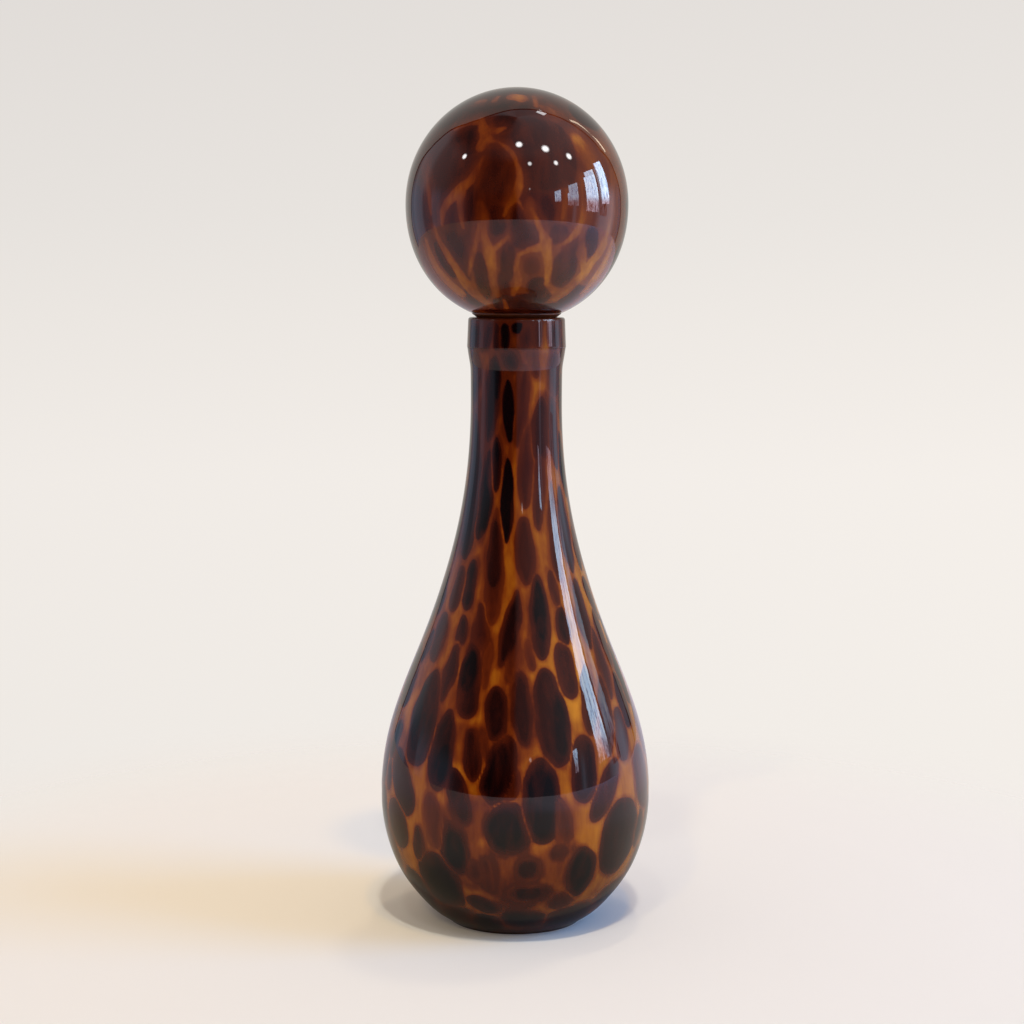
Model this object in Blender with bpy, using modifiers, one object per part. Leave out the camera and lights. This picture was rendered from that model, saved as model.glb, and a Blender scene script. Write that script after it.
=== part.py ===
"""Blown glass decanter with a hollow ball stopper, as separate glass and rubber pieces.

Lengths are in metres and +Z is up. The origin is the centre of the base, on the table.
Every piece is turned about the Z axis from a profile of (radius, height) points.
"""
import math

import bpy
import numpy as np

MM = 0.001

# Bottle, outside
BASE_RADIUS = 28.8 * MM
BELLY_RADIUS = 58.65 * MM
BELLY_HEIGHT = 57.0 * MM
NECK_RADIUS = 19.65 * MM
BOTTLE_HEIGHT = 263.4 * MM

# Bottle, inside and underneath
BELLY_WALL = 4.0 * MM
NECK_WALL = 3.6 * MM
BASE_THICKNESS = 7.5 * MM
STANDING_RING_WIDTH = 7.8 * MM
PUNT_DEPTH = 2.2 * MM
BORE_TAPER = 1.0 * MM

# Collar round the mouth
COLLAR_HEIGHT = 12.7 * MM
COLLAR_PROUD = 1.6 * MM
COLLAR_LEAN = 0.45 * MM
COLLAR_WALL = 1.8 * MM
LIP_THICKNESS = 1.5 * MM
LIP_ROUND = 1.2 * MM
WAIST_BELOW_COLLAR = 23.7 * MM

# Stopper ball
BALL_RADIUS = 47.5 * MM
BALL_UPPER_HEIGHT = 49.2 * MM
BALL_LOWER_HEIGHT = 49.7 * MM
BALL_WALL = 3.2 * MM
BALL_FLOOR = 3.0 * MM
BALL_STANDS_ABOVE_RIM = 1.7 * MM

# Stopper plug, a tapered tube that hangs in the neck
PLUG_LENGTH = 36.0 * MM
PLUG_CLEARANCE = 0.6 * MM
PLUG_WALL = 2.6 * MM
PLUG_FLARE = 2.6 * MM
PLUG_FLARE_HEIGHT = 1.9 * MM
PLUG_END_ROUND = 1.0 * MM

# Rubber seal, a ribbed sleeve in a groove round the plug
SEAL_HEIGHT = 16.0 * MM
SEAL_BELOW_RIM = 5.0 * MM
SEAL_GROOVE_DEPTH = 1.5 * MM
SEAL_RIB_HEIGHT = 0.7 * MM
SEAL_RIBS = 3

# Gap between pieces that touch
SEAT_GAP = 0.3 * MM

# Facets
SEGMENTS = 48
SMALL_SEGMENTS = 40
OUTSIDE_STEPS = 30
INSIDE_STEPS = 14
BOWL_STEPS = 8
PUNT_STEPS = 3
BALL_UPPER_STEPS = 10
BALL_LOWER_STEPS = 9
BALL_INSIDE_STEPS = 12
ROUND_STEPS = 3
RIB_STEPS = 4
MERGE_DISTANCE = 0.05 * MM

# The outline from the base to the belly, as (height share, radius share)
LOWER_OUTLINE_SHARES = [(0.0, 0.0), (0.07, 0.21), (0.175, 0.423), (0.35, 0.678), (0.6, 0.893), (0.88, 0.995)]
# The outline from the belly to the waist of the neck, as (height share, radius share)
UPPER_OUTLINE_SHARES = [
    (0.05, 0.992), (0.16, 0.912), (0.275, 0.749), (0.405, 0.523),
    (0.545, 0.309), (0.70, 0.131), (0.865, 0.026), (1.0, 0.0),
]
# The flare from the waist of the neck up to the collar, as (height share, share of COLLAR_PROUD)
FLARE_OUTLINE_SHARES = [(0.55, 0.17), (0.8, 0.48), (1.0, 0.92)]
# How square two curves are: 2 is an ellipse, more is squarer
BOWL_SQUARENESS = 2.5
BALL_LOWER_SQUARENESS = 2.1

# Heights and radii that follow from the sizes above
COLLAR_BOTTOM = BOTTLE_HEIGHT - COLLAR_HEIGHT
LEDGE_HEIGHT = COLLAR_BOTTOM - SEAT_GAP
WAIST_HEIGHT = LEDGE_HEIGHT - WAIST_BELOW_COLLAR
NECK_TOP = BOTTLE_HEIGHT - LIP_THICKNESS - SEAT_GAP
COLLAR_RADIUS = NECK_RADIUS + COLLAR_PROUD
COLLAR_INSIDE = COLLAR_RADIUS - COLLAR_WALL
BORE_RADIUS = NECK_RADIUS - NECK_WALL
MOUTH_RADIUS = BORE_RADIUS + BORE_TAPER
BALL_FOOT_HEIGHT = BALL_STANDS_ABOVE_RIM
PLUG_TOP = BALL_FOOT_HEIGHT - SEAT_GAP


def bore_radius(height):
    """Radius of the tapered neck bore at a height above the base."""
    return BORE_RADIUS + BORE_TAPER * (height - WAIST_HEIGHT) / (NECK_TOP - WAIST_HEIGHT)


def plug_radius(height):
    """Outside of the plug at a height above the rim, which is negative inside the neck."""
    return bore_radius(BOTTLE_HEIGHT + height) - PLUG_CLEARANCE


PLUG_BORE = plug_radius(-PLUG_LENGTH) - PLUG_WALL
FLARE_BOTTOM = PLUG_TOP - PLUG_FLARE_HEIGHT
BALL_FOOT_RADIUS = plug_radius(FLARE_BOTTOM) + PLUG_FLARE


def spline(points, count):
    """Points on a smooth curve, radius as a function of height, through the given points."""
    radius = np.array([point[0] for point in points])
    height = np.array([point[1] for point in points])
    step = np.diff(height)
    slope = np.diff(radius) / step
    size = len(points)
    matrix = np.eye(size)
    bend = np.zeros(size)
    for i in range(1, size - 1):
        matrix[i, i - 1:i + 2] = step[i - 1], 2 * (step[i - 1] + step[i]), step[i]
        bend[i] = 6 * (slope[i] - slope[i - 1])
    bend = np.linalg.solve(matrix, bend)
    result = []
    for at in np.linspace(height[0], height[-1], count):
        i = min(int(np.searchsorted(height, at, side="right")) - 1, size - 2)
        left = at - height[i]
        right = height[i + 1] - at
        value = (bend[i] * right ** 3 + bend[i + 1] * left ** 3) / (6 * step[i])
        value += (radius[i] / step[i] - bend[i] * step[i] / 6) * right
        value += (radius[i + 1] / step[i] - bend[i + 1] * step[i] / 6) * left
        result.append((float(value), float(at)))
    return result


def arc(centre, radii, start, end, steps):
    """Points on an elliptical arc, with the angles in degrees from +X, both ends included."""
    points = []
    for i in range(steps + 1):
        angle = math.radians(start + (end - start) * i / steps)
        points.append((centre[0] + radii[0] * math.cos(angle), centre[1] + radii[1] * math.sin(angle)))
    return points


def bottle_outline(count):
    """The outside of the bottle from the base up to the ledge under the collar."""
    points = []
    for height_share, radius_share in LOWER_OUTLINE_SHARES:
        radius = BASE_RADIUS + (BELLY_RADIUS - BASE_RADIUS) * radius_share
        points.append((radius, BELLY_HEIGHT * height_share))
    for height_share, radius_share in UPPER_OUTLINE_SHARES:
        radius = NECK_RADIUS + (BELLY_RADIUS - NECK_RADIUS) * radius_share
        points.append((radius, BELLY_HEIGHT + (WAIST_HEIGHT - BELLY_HEIGHT) * height_share))
    for height_share, radius_share in FLARE_OUTLINE_SHARES:
        radius = NECK_RADIUS + COLLAR_PROUD * radius_share
        points.append((radius, WAIST_HEIGHT + WAIST_BELOW_COLLAR * height_share))
    return spline(points, count)


def bottle_inside():
    """The inside of the bottle from the middle of its floor up to the top of the neck."""
    floor = PUNT_DEPTH + BASE_THICKNESS
    width = BELLY_RADIUS - BELLY_WALL
    depth = BELLY_HEIGHT - floor
    points = []
    for i in range(BOWL_STEPS):
        angle = math.radians(90) * i / BOWL_STEPS
        radius = width * math.sin(angle) ** (2 / BOWL_SQUARENESS)
        points.append((radius, BELLY_HEIGHT - depth * math.cos(angle) ** (2 / BOWL_SQUARENESS)))
    for radius, height in bottle_outline(INSIDE_STEPS * 2):
        share = (height - BELLY_HEIGHT) / (WAIST_HEIGHT - BELLY_HEIGHT)
        if 0 <= share < 1:
            wall = BELLY_WALL + (NECK_WALL - BELLY_WALL) * share
            points.append((radius - wall, height))
    points.append((BORE_RADIUS, WAIST_HEIGHT))
    points.append((bore_radius(NECK_TOP), NECK_TOP))
    return points


def bottle_profile():
    """The whole wall of the bottle, from the floor inside over the neck to the punt below."""
    neck_outside = COLLAR_INSIDE - SEAT_GAP
    ring_inside = BASE_RADIUS - STANDING_RING_WIDTH
    points = bottle_inside()
    points += [(neck_outside, NECK_TOP), (neck_outside, LEDGE_HEIGHT)]
    points += reversed(bottle_outline(OUTSIDE_STEPS))
    for i in range(PUNT_STEPS + 1):
        share = 1 - i / PUNT_STEPS
        points.append((ring_inside * share, PUNT_DEPTH * (1 - share ** 2)))
    return points


def collar_profile():
    """A band round the neck with a lip turned in over the neck's end."""
    top_radius = COLLAR_RADIUS - COLLAR_LEAN
    lip_bottom = BOTTLE_HEIGHT - LIP_THICKNESS
    inner_centre = (MOUTH_RADIUS + LIP_ROUND, BOTTLE_HEIGHT - LIP_ROUND)
    outer_centre = (top_radius - LIP_ROUND, BOTTLE_HEIGHT - LIP_ROUND)
    rounding = (LIP_ROUND, LIP_ROUND)
    points = [(MOUTH_RADIUS, lip_bottom)]
    points += arc(inner_centre, rounding, 180, 90, ROUND_STEPS)
    points += arc(outer_centre, rounding, 90, 0, ROUND_STEPS)
    points += [(COLLAR_RADIUS, COLLAR_BOTTOM), (COLLAR_INSIDE, COLLAR_BOTTOM), (COLLAR_INSIDE, lip_bottom)]
    return points


def ball_profile():
    """A hollow ball, slightly taller than wide, cut flat below and open into the plug."""
    power = 2 / BALL_LOWER_SQUARENESS
    foot_angle = math.asin((BALL_FOOT_RADIUS / BALL_RADIUS) ** (1 / power))
    centre = BALL_FOOT_HEIGHT + BALL_LOWER_HEIGHT * math.cos(foot_angle) ** power
    hollow_radius = BALL_RADIUS - BALL_WALL
    hollow_top = centre + BALL_UPPER_HEIGHT - BALL_WALL
    hollow_bottom = BALL_FOOT_HEIGHT + BALL_FLOOR
    bore_share = math.sqrt(1 - (PLUG_BORE / hollow_radius) ** 2)
    hollow_half_height = (hollow_top - hollow_bottom) / (1 + bore_share)
    hollow_centre = hollow_top - hollow_half_height
    bore_angle = -math.degrees(math.acos(PLUG_BORE / hollow_radius))
    points = arc((0, centre), (BALL_RADIUS, BALL_UPPER_HEIGHT), 90, 0, BALL_UPPER_STEPS)
    for i in range(1, BALL_LOWER_STEPS + 1):
        angle = math.radians(90) + (foot_angle - math.radians(90)) * i / BALL_LOWER_STEPS
        radius = BALL_RADIUS * math.sin(angle) ** power
        points.append((radius, centre - BALL_LOWER_HEIGHT * math.cos(angle) ** power))
    points.append((PLUG_BORE, BALL_FOOT_HEIGHT))
    points += arc((0, hollow_centre), (hollow_radius, hollow_half_height), bore_angle, 90, BALL_INSIDE_STEPS)
    return points


def plug_profile():
    """A tapered tube, flared at the ball, with a groove for the seal and a rounded end."""
    groove_top = -SEAL_BELOW_RIM
    groove_bottom = groove_top - SEAL_HEIGHT
    end_round = (PLUG_END_ROUND, PLUG_END_ROUND)
    end_centre = (plug_radius(-PLUG_LENGTH) - PLUG_END_ROUND, -PLUG_LENGTH + PLUG_END_ROUND)
    points = [(PLUG_BORE, PLUG_TOP), (BALL_FOOT_RADIUS, PLUG_TOP), (plug_radius(FLARE_BOTTOM), FLARE_BOTTOM)]
    points.append((plug_radius(groove_top), groove_top))
    points.append((plug_radius(groove_top) - SEAL_GROOVE_DEPTH, groove_top))
    points.append((plug_radius(groove_bottom) - SEAL_GROOVE_DEPTH, groove_bottom))
    points.append((plug_radius(groove_bottom), groove_bottom))
    points += arc(end_centre, end_round, 0, -90, ROUND_STEPS)
    points.append((PLUG_BORE, -PLUG_LENGTH))
    return points


def seal_profile():
    """A rubber sleeve that follows the taper, with round ribs that reach the neck bore."""
    top = -SEAL_BELOW_RIM - SEAT_GAP
    bottom = -SEAL_BELOW_RIM - SEAL_HEIGHT + SEAT_GAP
    rib_span = (top - bottom) / SEAL_RIBS
    count = SEAL_RIBS * RIB_STEPS
    points = []
    for i in range(count + 1):
        height = top - (top - bottom) * i / count
        wave = abs(math.sin(math.pi * (top - height) / rib_span))
        tip = plug_radius(height) + PLUG_CLEARANCE - SEAT_GAP
        points.append((tip - SEAL_RIB_HEIGHT * (1 - wave), height))
    for height in (bottom, top):
        points.append((plug_radius(height) - SEAL_GROOVE_DEPTH + SEAT_GAP, height))
    return points


def make_material(name, colour, roughness):
    """A Principled material with one plain colour."""
    material = bpy.data.materials.new(name)
    material.use_nodes = True
    shader = material.node_tree.nodes["Principled BSDF"]
    shader.inputs["Base Color"].default_value = (*colour, 1.0)
    shader.inputs["Roughness"].default_value = roughness
    shader.inputs["Metallic"].default_value = 0.0
    material.diffuse_color = (*colour, 1.0)
    return material


def turn(name, profile, closed, parent, material, segments, collection):
    """Turn a profile about the parent's Z axis, as a mesh with a Screw modifier."""
    count = len(profile)
    edges = [(i, i + 1) for i in range(count - 1)]
    if closed:
        edges.append((count - 1, 0))
    mesh = bpy.data.meshes.new(name)
    mesh.from_pydata([(radius, 0, height) for radius, height in profile], edges, [])
    mesh.materials.append(material)
    piece = bpy.data.objects.new(name, mesh)
    collection.objects.link(piece)
    piece.parent = parent
    screw = piece.modifiers.new("turned", "SCREW")
    screw.axis = "Z"
    screw.angle = math.radians(360)
    screw.steps = segments
    screw.render_steps = segments
    screw.use_merge_vertices = True
    screw.merge_threshold = MERGE_DISTANCE
    screw.use_smooth_shade = True
    return piece


def make_axis(name, height, collection):
    """An empty on the decanter's axis that carries the pieces of one group."""
    axis = bpy.data.objects.new(name, None)
    axis.empty_display_size = BELLY_RADIUS
    axis.location.z = height
    collection.objects.link(axis)
    return axis


def main():
    for item in list(bpy.data.objects):
        bpy.data.objects.remove(item, do_unlink=True)
    collection = bpy.data.collections.new("glass_decanter")
    bpy.context.scene.collection.children.link(collection)

    tortoise_glass = make_material("tortoiseshell glass", (0.19, 0.055, 0.018), 0.04)
    plug_glass = make_material("plug glass", (0.10, 0.032, 0.014), 0.25)
    rubber = make_material("black rubber", (0.012, 0.012, 0.013), 0.55)

    bottle_axis = make_axis("bottle_axis", 0, collection)
    stopper_axis = make_axis("stopper_axis", BOTTLE_HEIGHT, collection)

    turn("bottle_body", bottle_profile(), False, bottle_axis, tortoise_glass, SEGMENTS, collection)
    turn("neck_collar", collar_profile(), True, bottle_axis, tortoise_glass, SEGMENTS, collection)
    turn("stopper_ball", ball_profile(), False, stopper_axis, tortoise_glass, SEGMENTS, collection)
    turn("stopper_plug", plug_profile(), True, stopper_axis, plug_glass, SMALL_SEGMENTS, collection)
    turn("stopper_seal", seal_profile(), True, stopper_axis, rubber, SMALL_SEGMENTS, collection)


main()
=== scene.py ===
"""Looks of a blown glass decanter: a tortoiseshell glass bottle with a hollow ball stopper.

Lengths are in metres and +Z is up, as in the CAD frame. The spots in the glass that face the camera
are placed by the pixels where they lie in the photograph, and the rest of the glass is filled in the
same manner.
"""

import math
from collections import namedtuple

import bmesh
import bpy
import numpy as np
from mathutils import Euler, Matrix, Vector
from mathutils.bvhtree import BVHTree


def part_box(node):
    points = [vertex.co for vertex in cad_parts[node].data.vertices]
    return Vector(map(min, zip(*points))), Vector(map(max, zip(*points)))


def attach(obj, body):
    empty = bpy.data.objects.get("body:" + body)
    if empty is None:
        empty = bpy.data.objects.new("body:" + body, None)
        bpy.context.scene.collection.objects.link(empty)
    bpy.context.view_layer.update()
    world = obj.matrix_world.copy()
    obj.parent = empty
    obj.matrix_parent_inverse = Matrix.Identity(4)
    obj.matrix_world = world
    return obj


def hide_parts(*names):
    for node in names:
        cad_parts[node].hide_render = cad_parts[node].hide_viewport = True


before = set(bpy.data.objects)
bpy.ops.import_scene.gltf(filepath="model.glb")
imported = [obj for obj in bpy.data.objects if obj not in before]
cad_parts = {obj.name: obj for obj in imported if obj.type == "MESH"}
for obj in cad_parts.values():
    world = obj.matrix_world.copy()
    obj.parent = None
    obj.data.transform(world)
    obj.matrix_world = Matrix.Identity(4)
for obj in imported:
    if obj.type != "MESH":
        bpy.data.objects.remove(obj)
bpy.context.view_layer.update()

MM = 0.001

# The view of the photograph
IMAGE_SIZE = 1024
FOCAL_PIXELS = 2100.0
CAMERA_SPOT = Vector((-0.00174, -0.9045, 0.2844))
CAMERA_DROP = 0.1052
CAMERA_ROLL = 0.163
SENSOR_WIDTH = 36.0

# Outlines, as shares of the sizes that the frame gives
LOWER_OUTLINE_SHARES = [
    (0.0, 0.0), (0.07, 0.21), (0.175, 0.423), (0.35, 0.678), (0.6, 0.893), (0.88, 0.995),
]
UPPER_OUTLINE_SHARES = [
    (0.05, 0.992), (0.16, 0.912), (0.275, 0.749), (0.405, 0.523),
    (0.545, 0.309), (0.70, 0.131), (0.865, 0.026), (1.0, 0.0),
]
FLARE_OUTLINE_SHARES = [(0.30, 0.01), (0.55, 0.05), (0.655, 0.13), (0.8, 0.47), (1.0, 0.92)]
BOWL_SQUARENESS = 2.5
BALL_LOWER_SQUARENESS = 2.1

# Sizes of the bottle and collar
BOTTLE_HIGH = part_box("bottle_body")[1]
COLLAR_LOW, COLLAR_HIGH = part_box("neck_collar")
BELLY_RADIUS = BOTTLE_HIGH.x
BELLY_HEIGHT = 57.0 * MM
BASE_RADIUS = 28.8 * MM
STANDING_RING_WIDTH = 7.8 * MM
PUNT_DEPTH = 2.2 * MM
BASE_THICKNESS = 7.5 * MM
BASE_ROUND = 0.7 * MM
BELLY_WALL = 4.0 * MM
NECK_WALL = 3.6 * MM
BORE_TAPER = 1.0 * MM
COLLAR_PROUD = 1.6 * MM
COLLAR_LEAN = 0.45 * MM
COLLAR_WALL = 1.8 * MM
COLLAR_EDGE_ROUND = 0.35 * MM
COLLAR_LIFT = 0.01 * MM
LIP_ROUND = 1.2 * MM
LIP_THICKNESS = 1.5 * MM
SEAT_GAP = 0.3 * MM
WAIST_BELOW_COLLAR = 23.7 * MM
RIM_HEIGHT = COLLAR_HIGH.z
COLLAR_RADIUS = COLLAR_HIGH.x
NECK_RADIUS = COLLAR_RADIUS - COLLAR_PROUD
NECK_TOP = BOTTLE_HIGH.z
LEDGE_HEIGHT = COLLAR_LOW.z - SEAT_GAP
WAIST_HEIGHT = LEDGE_HEIGHT - WAIST_BELOW_COLLAR
BORE_RADIUS = NECK_RADIUS - NECK_WALL
MOUTH_RADIUS = BORE_RADIUS + BORE_TAPER
COLLAR_INSIDE = COLLAR_RADIUS - COLLAR_WALL

# Sizes of the stopper
BALL_LOW, BALL_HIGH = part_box("stopper_ball")
PLUG_LOW, PLUG_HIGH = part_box("stopper_plug")
SEAL_LOW, SEAL_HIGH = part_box("stopper_seal")
BALL_RADIUS = BALL_HIGH.x
BALL_UPPER_HEIGHT = 49.2 * MM
BALL_LOWER_HEIGHT = 49.7 * MM
BALL_CENTRE = BALL_HIGH.z - BALL_UPPER_HEIGHT
BALL_FOOT_RADIUS = PLUG_HIGH.x
BALL_WALL = 3.2 * MM
BALL_FLOOR = 3.0 * MM
PLUG_CLEARANCE = 0.6 * MM
PLUG_WALL = 2.6 * MM
PLUG_FLARE = 2.6 * MM
PLUG_FLARE_HEIGHT = 1.9 * MM
PLUG_END_ROUND = 1.0 * MM
PLUG_BORE_ROUND = 0.6 * MM
PLUG_TOP_GAP = 0.02 * MM
SEAL_GROOVE_DEPTH = 1.5 * MM
SEAL_RIB_HEIGHT = 0.7 * MM
SEAL_RIBS = 3

# Fineness of the turned meshes
BOTTLE_SEGMENTS = 384
BALL_SEGMENTS = 400
SMALL_SEGMENTS = 128
OUTLINE_ROWS = 232
OUTLINE_STEPS = 1200
INSIDE_ROWS = 16
BOWL_STEPS = 24
COLLAR_ROWS = 16
BALL_ROWS = 170
BALL_STEPS = 300
HOLLOW_STEPS = 14
ROWS_IN_A_RIB = 12
PUNT_ROWS = 7
FLARE_ROWS = 5
LIP_STEPS = 7
EDGE_STEPS = 4
PLUG_END_STEPS = 6
SKIN_SEGMENTS = 180
SHARP_ANGLE = math.radians(42)
ON_AXIS = 1e-7

# A spot of dark glass: the pixels at its two ends, half its width in pixels, how dark it is, where 1 is
# darkest, how much wider it is at its first end, and the spots that it runs into, if any
Spot = namedtuple("Spot", "top bottom half_width depth taper joins", defaults=(0.9, 0.0, None))

NECK_SPOTS = [
    Spot((506, 350), (514, 371), 7.5, 0.95),
    Spot((505, 323), (505, 350), 5.0, 1.08),
    Spot((517, 322), (518, 334), 6.8, 1.08),
    Spot((496, 323), (497, 351), 4.0, 0.98),
    Spot((495, 356), (487, 443), 7.8, 0.96),
    Spot((508, 380), (510, 443), 6.8, 1.09),
    Spot((526, 365), (517, 447), 7.2, 0.86),
    Spot((531, 344), (537, 378), 5.5, 0.82),
    Spot((542, 396), (538, 462), 8.8, 0.90, -0.3, "right of neck"),
    Spot((540, 440), (538, 531), 6.5, 0.84, 0.0, "right of neck"),
    Spot((528, 425), (525, 509), 8.8, 0.84, -0.1),
    Spot((497, 437), (495, 493), 5.6, 1.02),
    Spot((508, 458), (506, 543), 6.8, 1.09),
    Spot((489, 450), (478, 540), 7.8, 0.99, -0.15),
    Spot((474, 352), (472, 404), 5.5, 0.93),
    Spot((476, 412), (464, 560), 6.8, 0.96, -0.1),
    Spot((555, 352), (556, 395), 4.0, 0.9),
    Spot((552, 398), (557, 470), 4.2, 0.9),
    Spot((551, 480), (558, 581), 4.6, 0.88),
    Spot((559, 486), (573, 573), 4.4, 0.92),
    Spot((490, 323), (485, 350), 4.4, 0.93),
    Spot((475, 323), (473, 350), 5.4, 0.93),
    Spot((528, 324), (526, 350), 6.8, 0.88),
    Spot((539, 323), (538, 348), 4.2, 0.90),
    Spot((554, 323), (555, 350), 5.0, 0.92),
]
SHOULDER_SPOTS = [
    Spot((523, 516), (527, 585), 10.2, 0.86),
    Spot((497, 508), (492, 625), 9.6, 0.80, -0.1, "long brown"),
    Spot((474, 559), (466, 610), 6.0, 0.96),
    Spot((463, 565), (452, 612), 5.5, 0.86),
    Spot((465, 614), (459, 647), 5.6, 0.92),
    Spot((481, 602), (482, 650), 6.8, 0.86),
    Spot((518, 590), (500, 668), 9.5, 0.90, 0.1, "leaning pair"),
    Spot((515, 625), (511, 682), 8.0, 0.80, 0.0, "leaning pair"),
    Spot((537, 574), (543, 661), 10.6, 0.92),
    Spot((559, 606), (566, 646), 6.4, 0.96),
    Spot((550, 570), (558, 608), 4.8, 0.86),
    Spot((574, 577), (591, 650), 5.4, 0.90),
    Spot((528, 640), (532, 672), 5.0, 0.78),
    Spot((474, 642), (466, 719), 11.6, 0.93, -0.05),
    Spot((459, 640), (442, 701), 6.6, 0.88),
    Spot((446, 612), (432, 662), 6.0, 0.88),
    Spot((490, 640), (484, 690), 4.5, 0.78),
    Spot((436, 669), (415, 767), 12.6, 0.93, -0.1),
    Spot((422, 640), (404, 706), 6.0, 0.92),
    Spot((450, 709), (436, 791), 11.8, 0.94, -0.15, "left pair"),
    Spot((452, 768), (466, 824), 10.6, 0.94, 0.0, "left pair"),
    Spot((472, 729), (473, 781), 9.0, 0.93),
    Spot((496, 685), (497, 743), 12.0, 0.95),
    Spot((519, 670), (525, 746), 10.8, 0.92),
    Spot((544, 669), (560, 768), 17.0, 0.92),
    Spot((560, 642), (572, 699), 10.2, 0.88),
    Spot((584, 664), (591, 737), 7.6, 0.88),
    Spot((600, 672), (608, 756), 7.0, 0.86),
    Spot((592, 628), (612, 700), 4.6, 0.84),
    Spot((508, 736), (492, 806), 17.2, 0.94, -0.1, "big middle"),
    Spot((517, 770), (506, 806), 8.0, 0.84, 0.0, "big middle"),
    Spot((484, 728), (489, 775), 4.0, 0.82, 0.0, "big middle"),
]
BELLY_SPOTS = [
    Spot((582, 735), (584, 804), 13.0, 0.92),
    Spot((541, 757), (541, 844), 19.5, 0.95, -0.1, "right middle"),
    Spot((556, 796), (568, 852), 10.5, 0.80, 0.0, "right middle"),
    Spot((528, 776), (528, 816), 6.4, 0.92, 0.0, "right middle"),
    Spot((617, 708), (624, 762), 6.6, 0.86),
    Spot((636, 745), (644, 806), 6.0, 0.90),
    Spot((616, 757), (592, 824), 9.0, 0.90),
    Spot((625, 797), (609, 874), 16.0, 0.94),
    Spot((585, 846), (574, 897), 13.0, 0.94),
    Spot((572, 839), (553, 859), 7.2, 0.93),
    Spot((513, 871), (543, 868), 12.0, 0.84),
    Spot((506, 895), (554, 892), 9.4, 0.84),
    Spot((548, 905), (573, 896), 7.4, 0.86),
    Spot((505, 800), (510, 856), 23.0, 0.94, -0.15),
    Spot((448, 823), (461, 874), 14.4, 0.93),
    Spot((468, 858), (482, 884), 8.0, 0.82),
    Spot((429, 852), (455, 908), 15.4, 0.95, -0.1),
    Spot((468, 897), (498, 912), 6.8, 0.92),
    Spot((485, 857), (490, 893), 6.2, 0.84),
    Spot((418, 826), (421, 862), 5.6, 0.88, -0.2),
    Spot((398, 748), (411, 816), 9.4, 0.92),
    Spot((394, 797), (404, 848), 8.0, 0.90),
    Spot((411, 868), (440, 915), 5.0, 0.92),
    Spot((441, 909), (476, 926), 6.0, 0.90),
    Spot((466, 918), (504, 928), 7.0, 0.97),
    Spot((500, 917), (548, 921), 8.0, 0.97),
    Spot((540, 922), (592, 908), 7.5, 0.94),
    Spot((592, 904), (622, 880), 6.0, 0.90),
    Spot((430, 792), (440, 850), 9.0, 0.76),
]
# The front of the ball is dark glass with patches of another depth, crossed by amber veins
BALL_TONES = [
    Spot((500, 150), (494, 196), 17.0, 0.905),
    Spot((487, 166), (499, 174), 7.0, 0.93),
    Spot((500, 182), (504, 202), 8.0, 0.92),
    Spot((497, 204), (498, 236), 9.5, 0.945),
    Spot((481, 200), (483, 238), 6.5, 0.79),
    Spot((462, 132), (478, 126), 5.0, 0.97),
    Spot((456, 140), (477, 134), 5.0, 0.99),
    Spot((452, 150), (446, 190), 8.0, 0.90),
    Spot((466, 158), (456, 186), 8.5, 0.90),
    Spot((471, 184), (467, 224), 5.0, 0.96),
    Spot((516, 206), (517, 230), 3.6, 0.955),
    Spot((493, 126), (513, 118), 9.0, 0.97),
    Spot((460, 150), (478, 144), 8.0, 0.96),
    Spot((545, 120), (552, 190), 26.0, 0.90),
    Spot((528, 116), (530, 150), 18.0, 0.93),
    Spot((531, 150), (528, 172), 8.0, 0.92),
    Spot((566, 162), (568, 184), 8.5, 0.86),
    Spot((529, 196), (531, 222), 6.0, 0.74),
    Spot((546, 194), (549, 222), 6.0, 0.90),
    Spot((563, 198), (564, 222), 7.0, 0.80),
    Spot((526, 222), (523, 250), 15.0, 0.90),
    Spot((558, 224), (560, 243), 9.0, 0.90),
    Spot((532, 256), (532, 274), 9.0, 0.76),
    Spot((566, 250), (560, 288), 12.0, 0.885),
    Spot((573, 232), (566, 262), 8.0, 0.84),
    Spot((592, 226), (590, 258), 6.5, 0.93),
    Spot((508, 242), (508, 282), 7.6, 0.92),
    Spot((503, 272), (506, 300), 6.0, 0.89),
    Spot((534, 278), (542, 304), 12.0, 0.91),
    Spot((463, 218), (466, 284), 9.0, 0.86),
    Spot((455, 232), (456, 262), 8.0, 0.91),
    Spot((479, 252), (488, 300), 8.0, 0.91),
    Spot((437, 238), (456, 278), 6.8, 0.94),
    Spot((464, 290), (480, 306), 5.5, 0.94),
    Spot((582, 284), (560, 306), 6.5, 0.95),
    Spot((500, 92), (506, 108), 14.0, 0.97),
    Spot((470, 100), (440, 128), 9.0, 0.96),
    Spot((528, 102), (528, 108), 8.0, 0.985),
    Spot((570, 104), (598, 130), 9.0, 0.96),
    # The last four patches darken the underside of the ball: a painted reflection of the dark collar and rim
    # below it
    Spot((480, 309), (500, 314), 9.0, 0.97),
    Spot((517, 294), (517, 314), 24.0, 0.95),
    Spot((534, 309), (554, 313), 8.0, 0.96),
    Spot((516, 309), (516, 314), 32.0, 0.95),
]

# A vein of amber: pixels along it, and half its width in pixels at each of them
Vein = namedtuple("Vein", "points half_widths")

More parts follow.
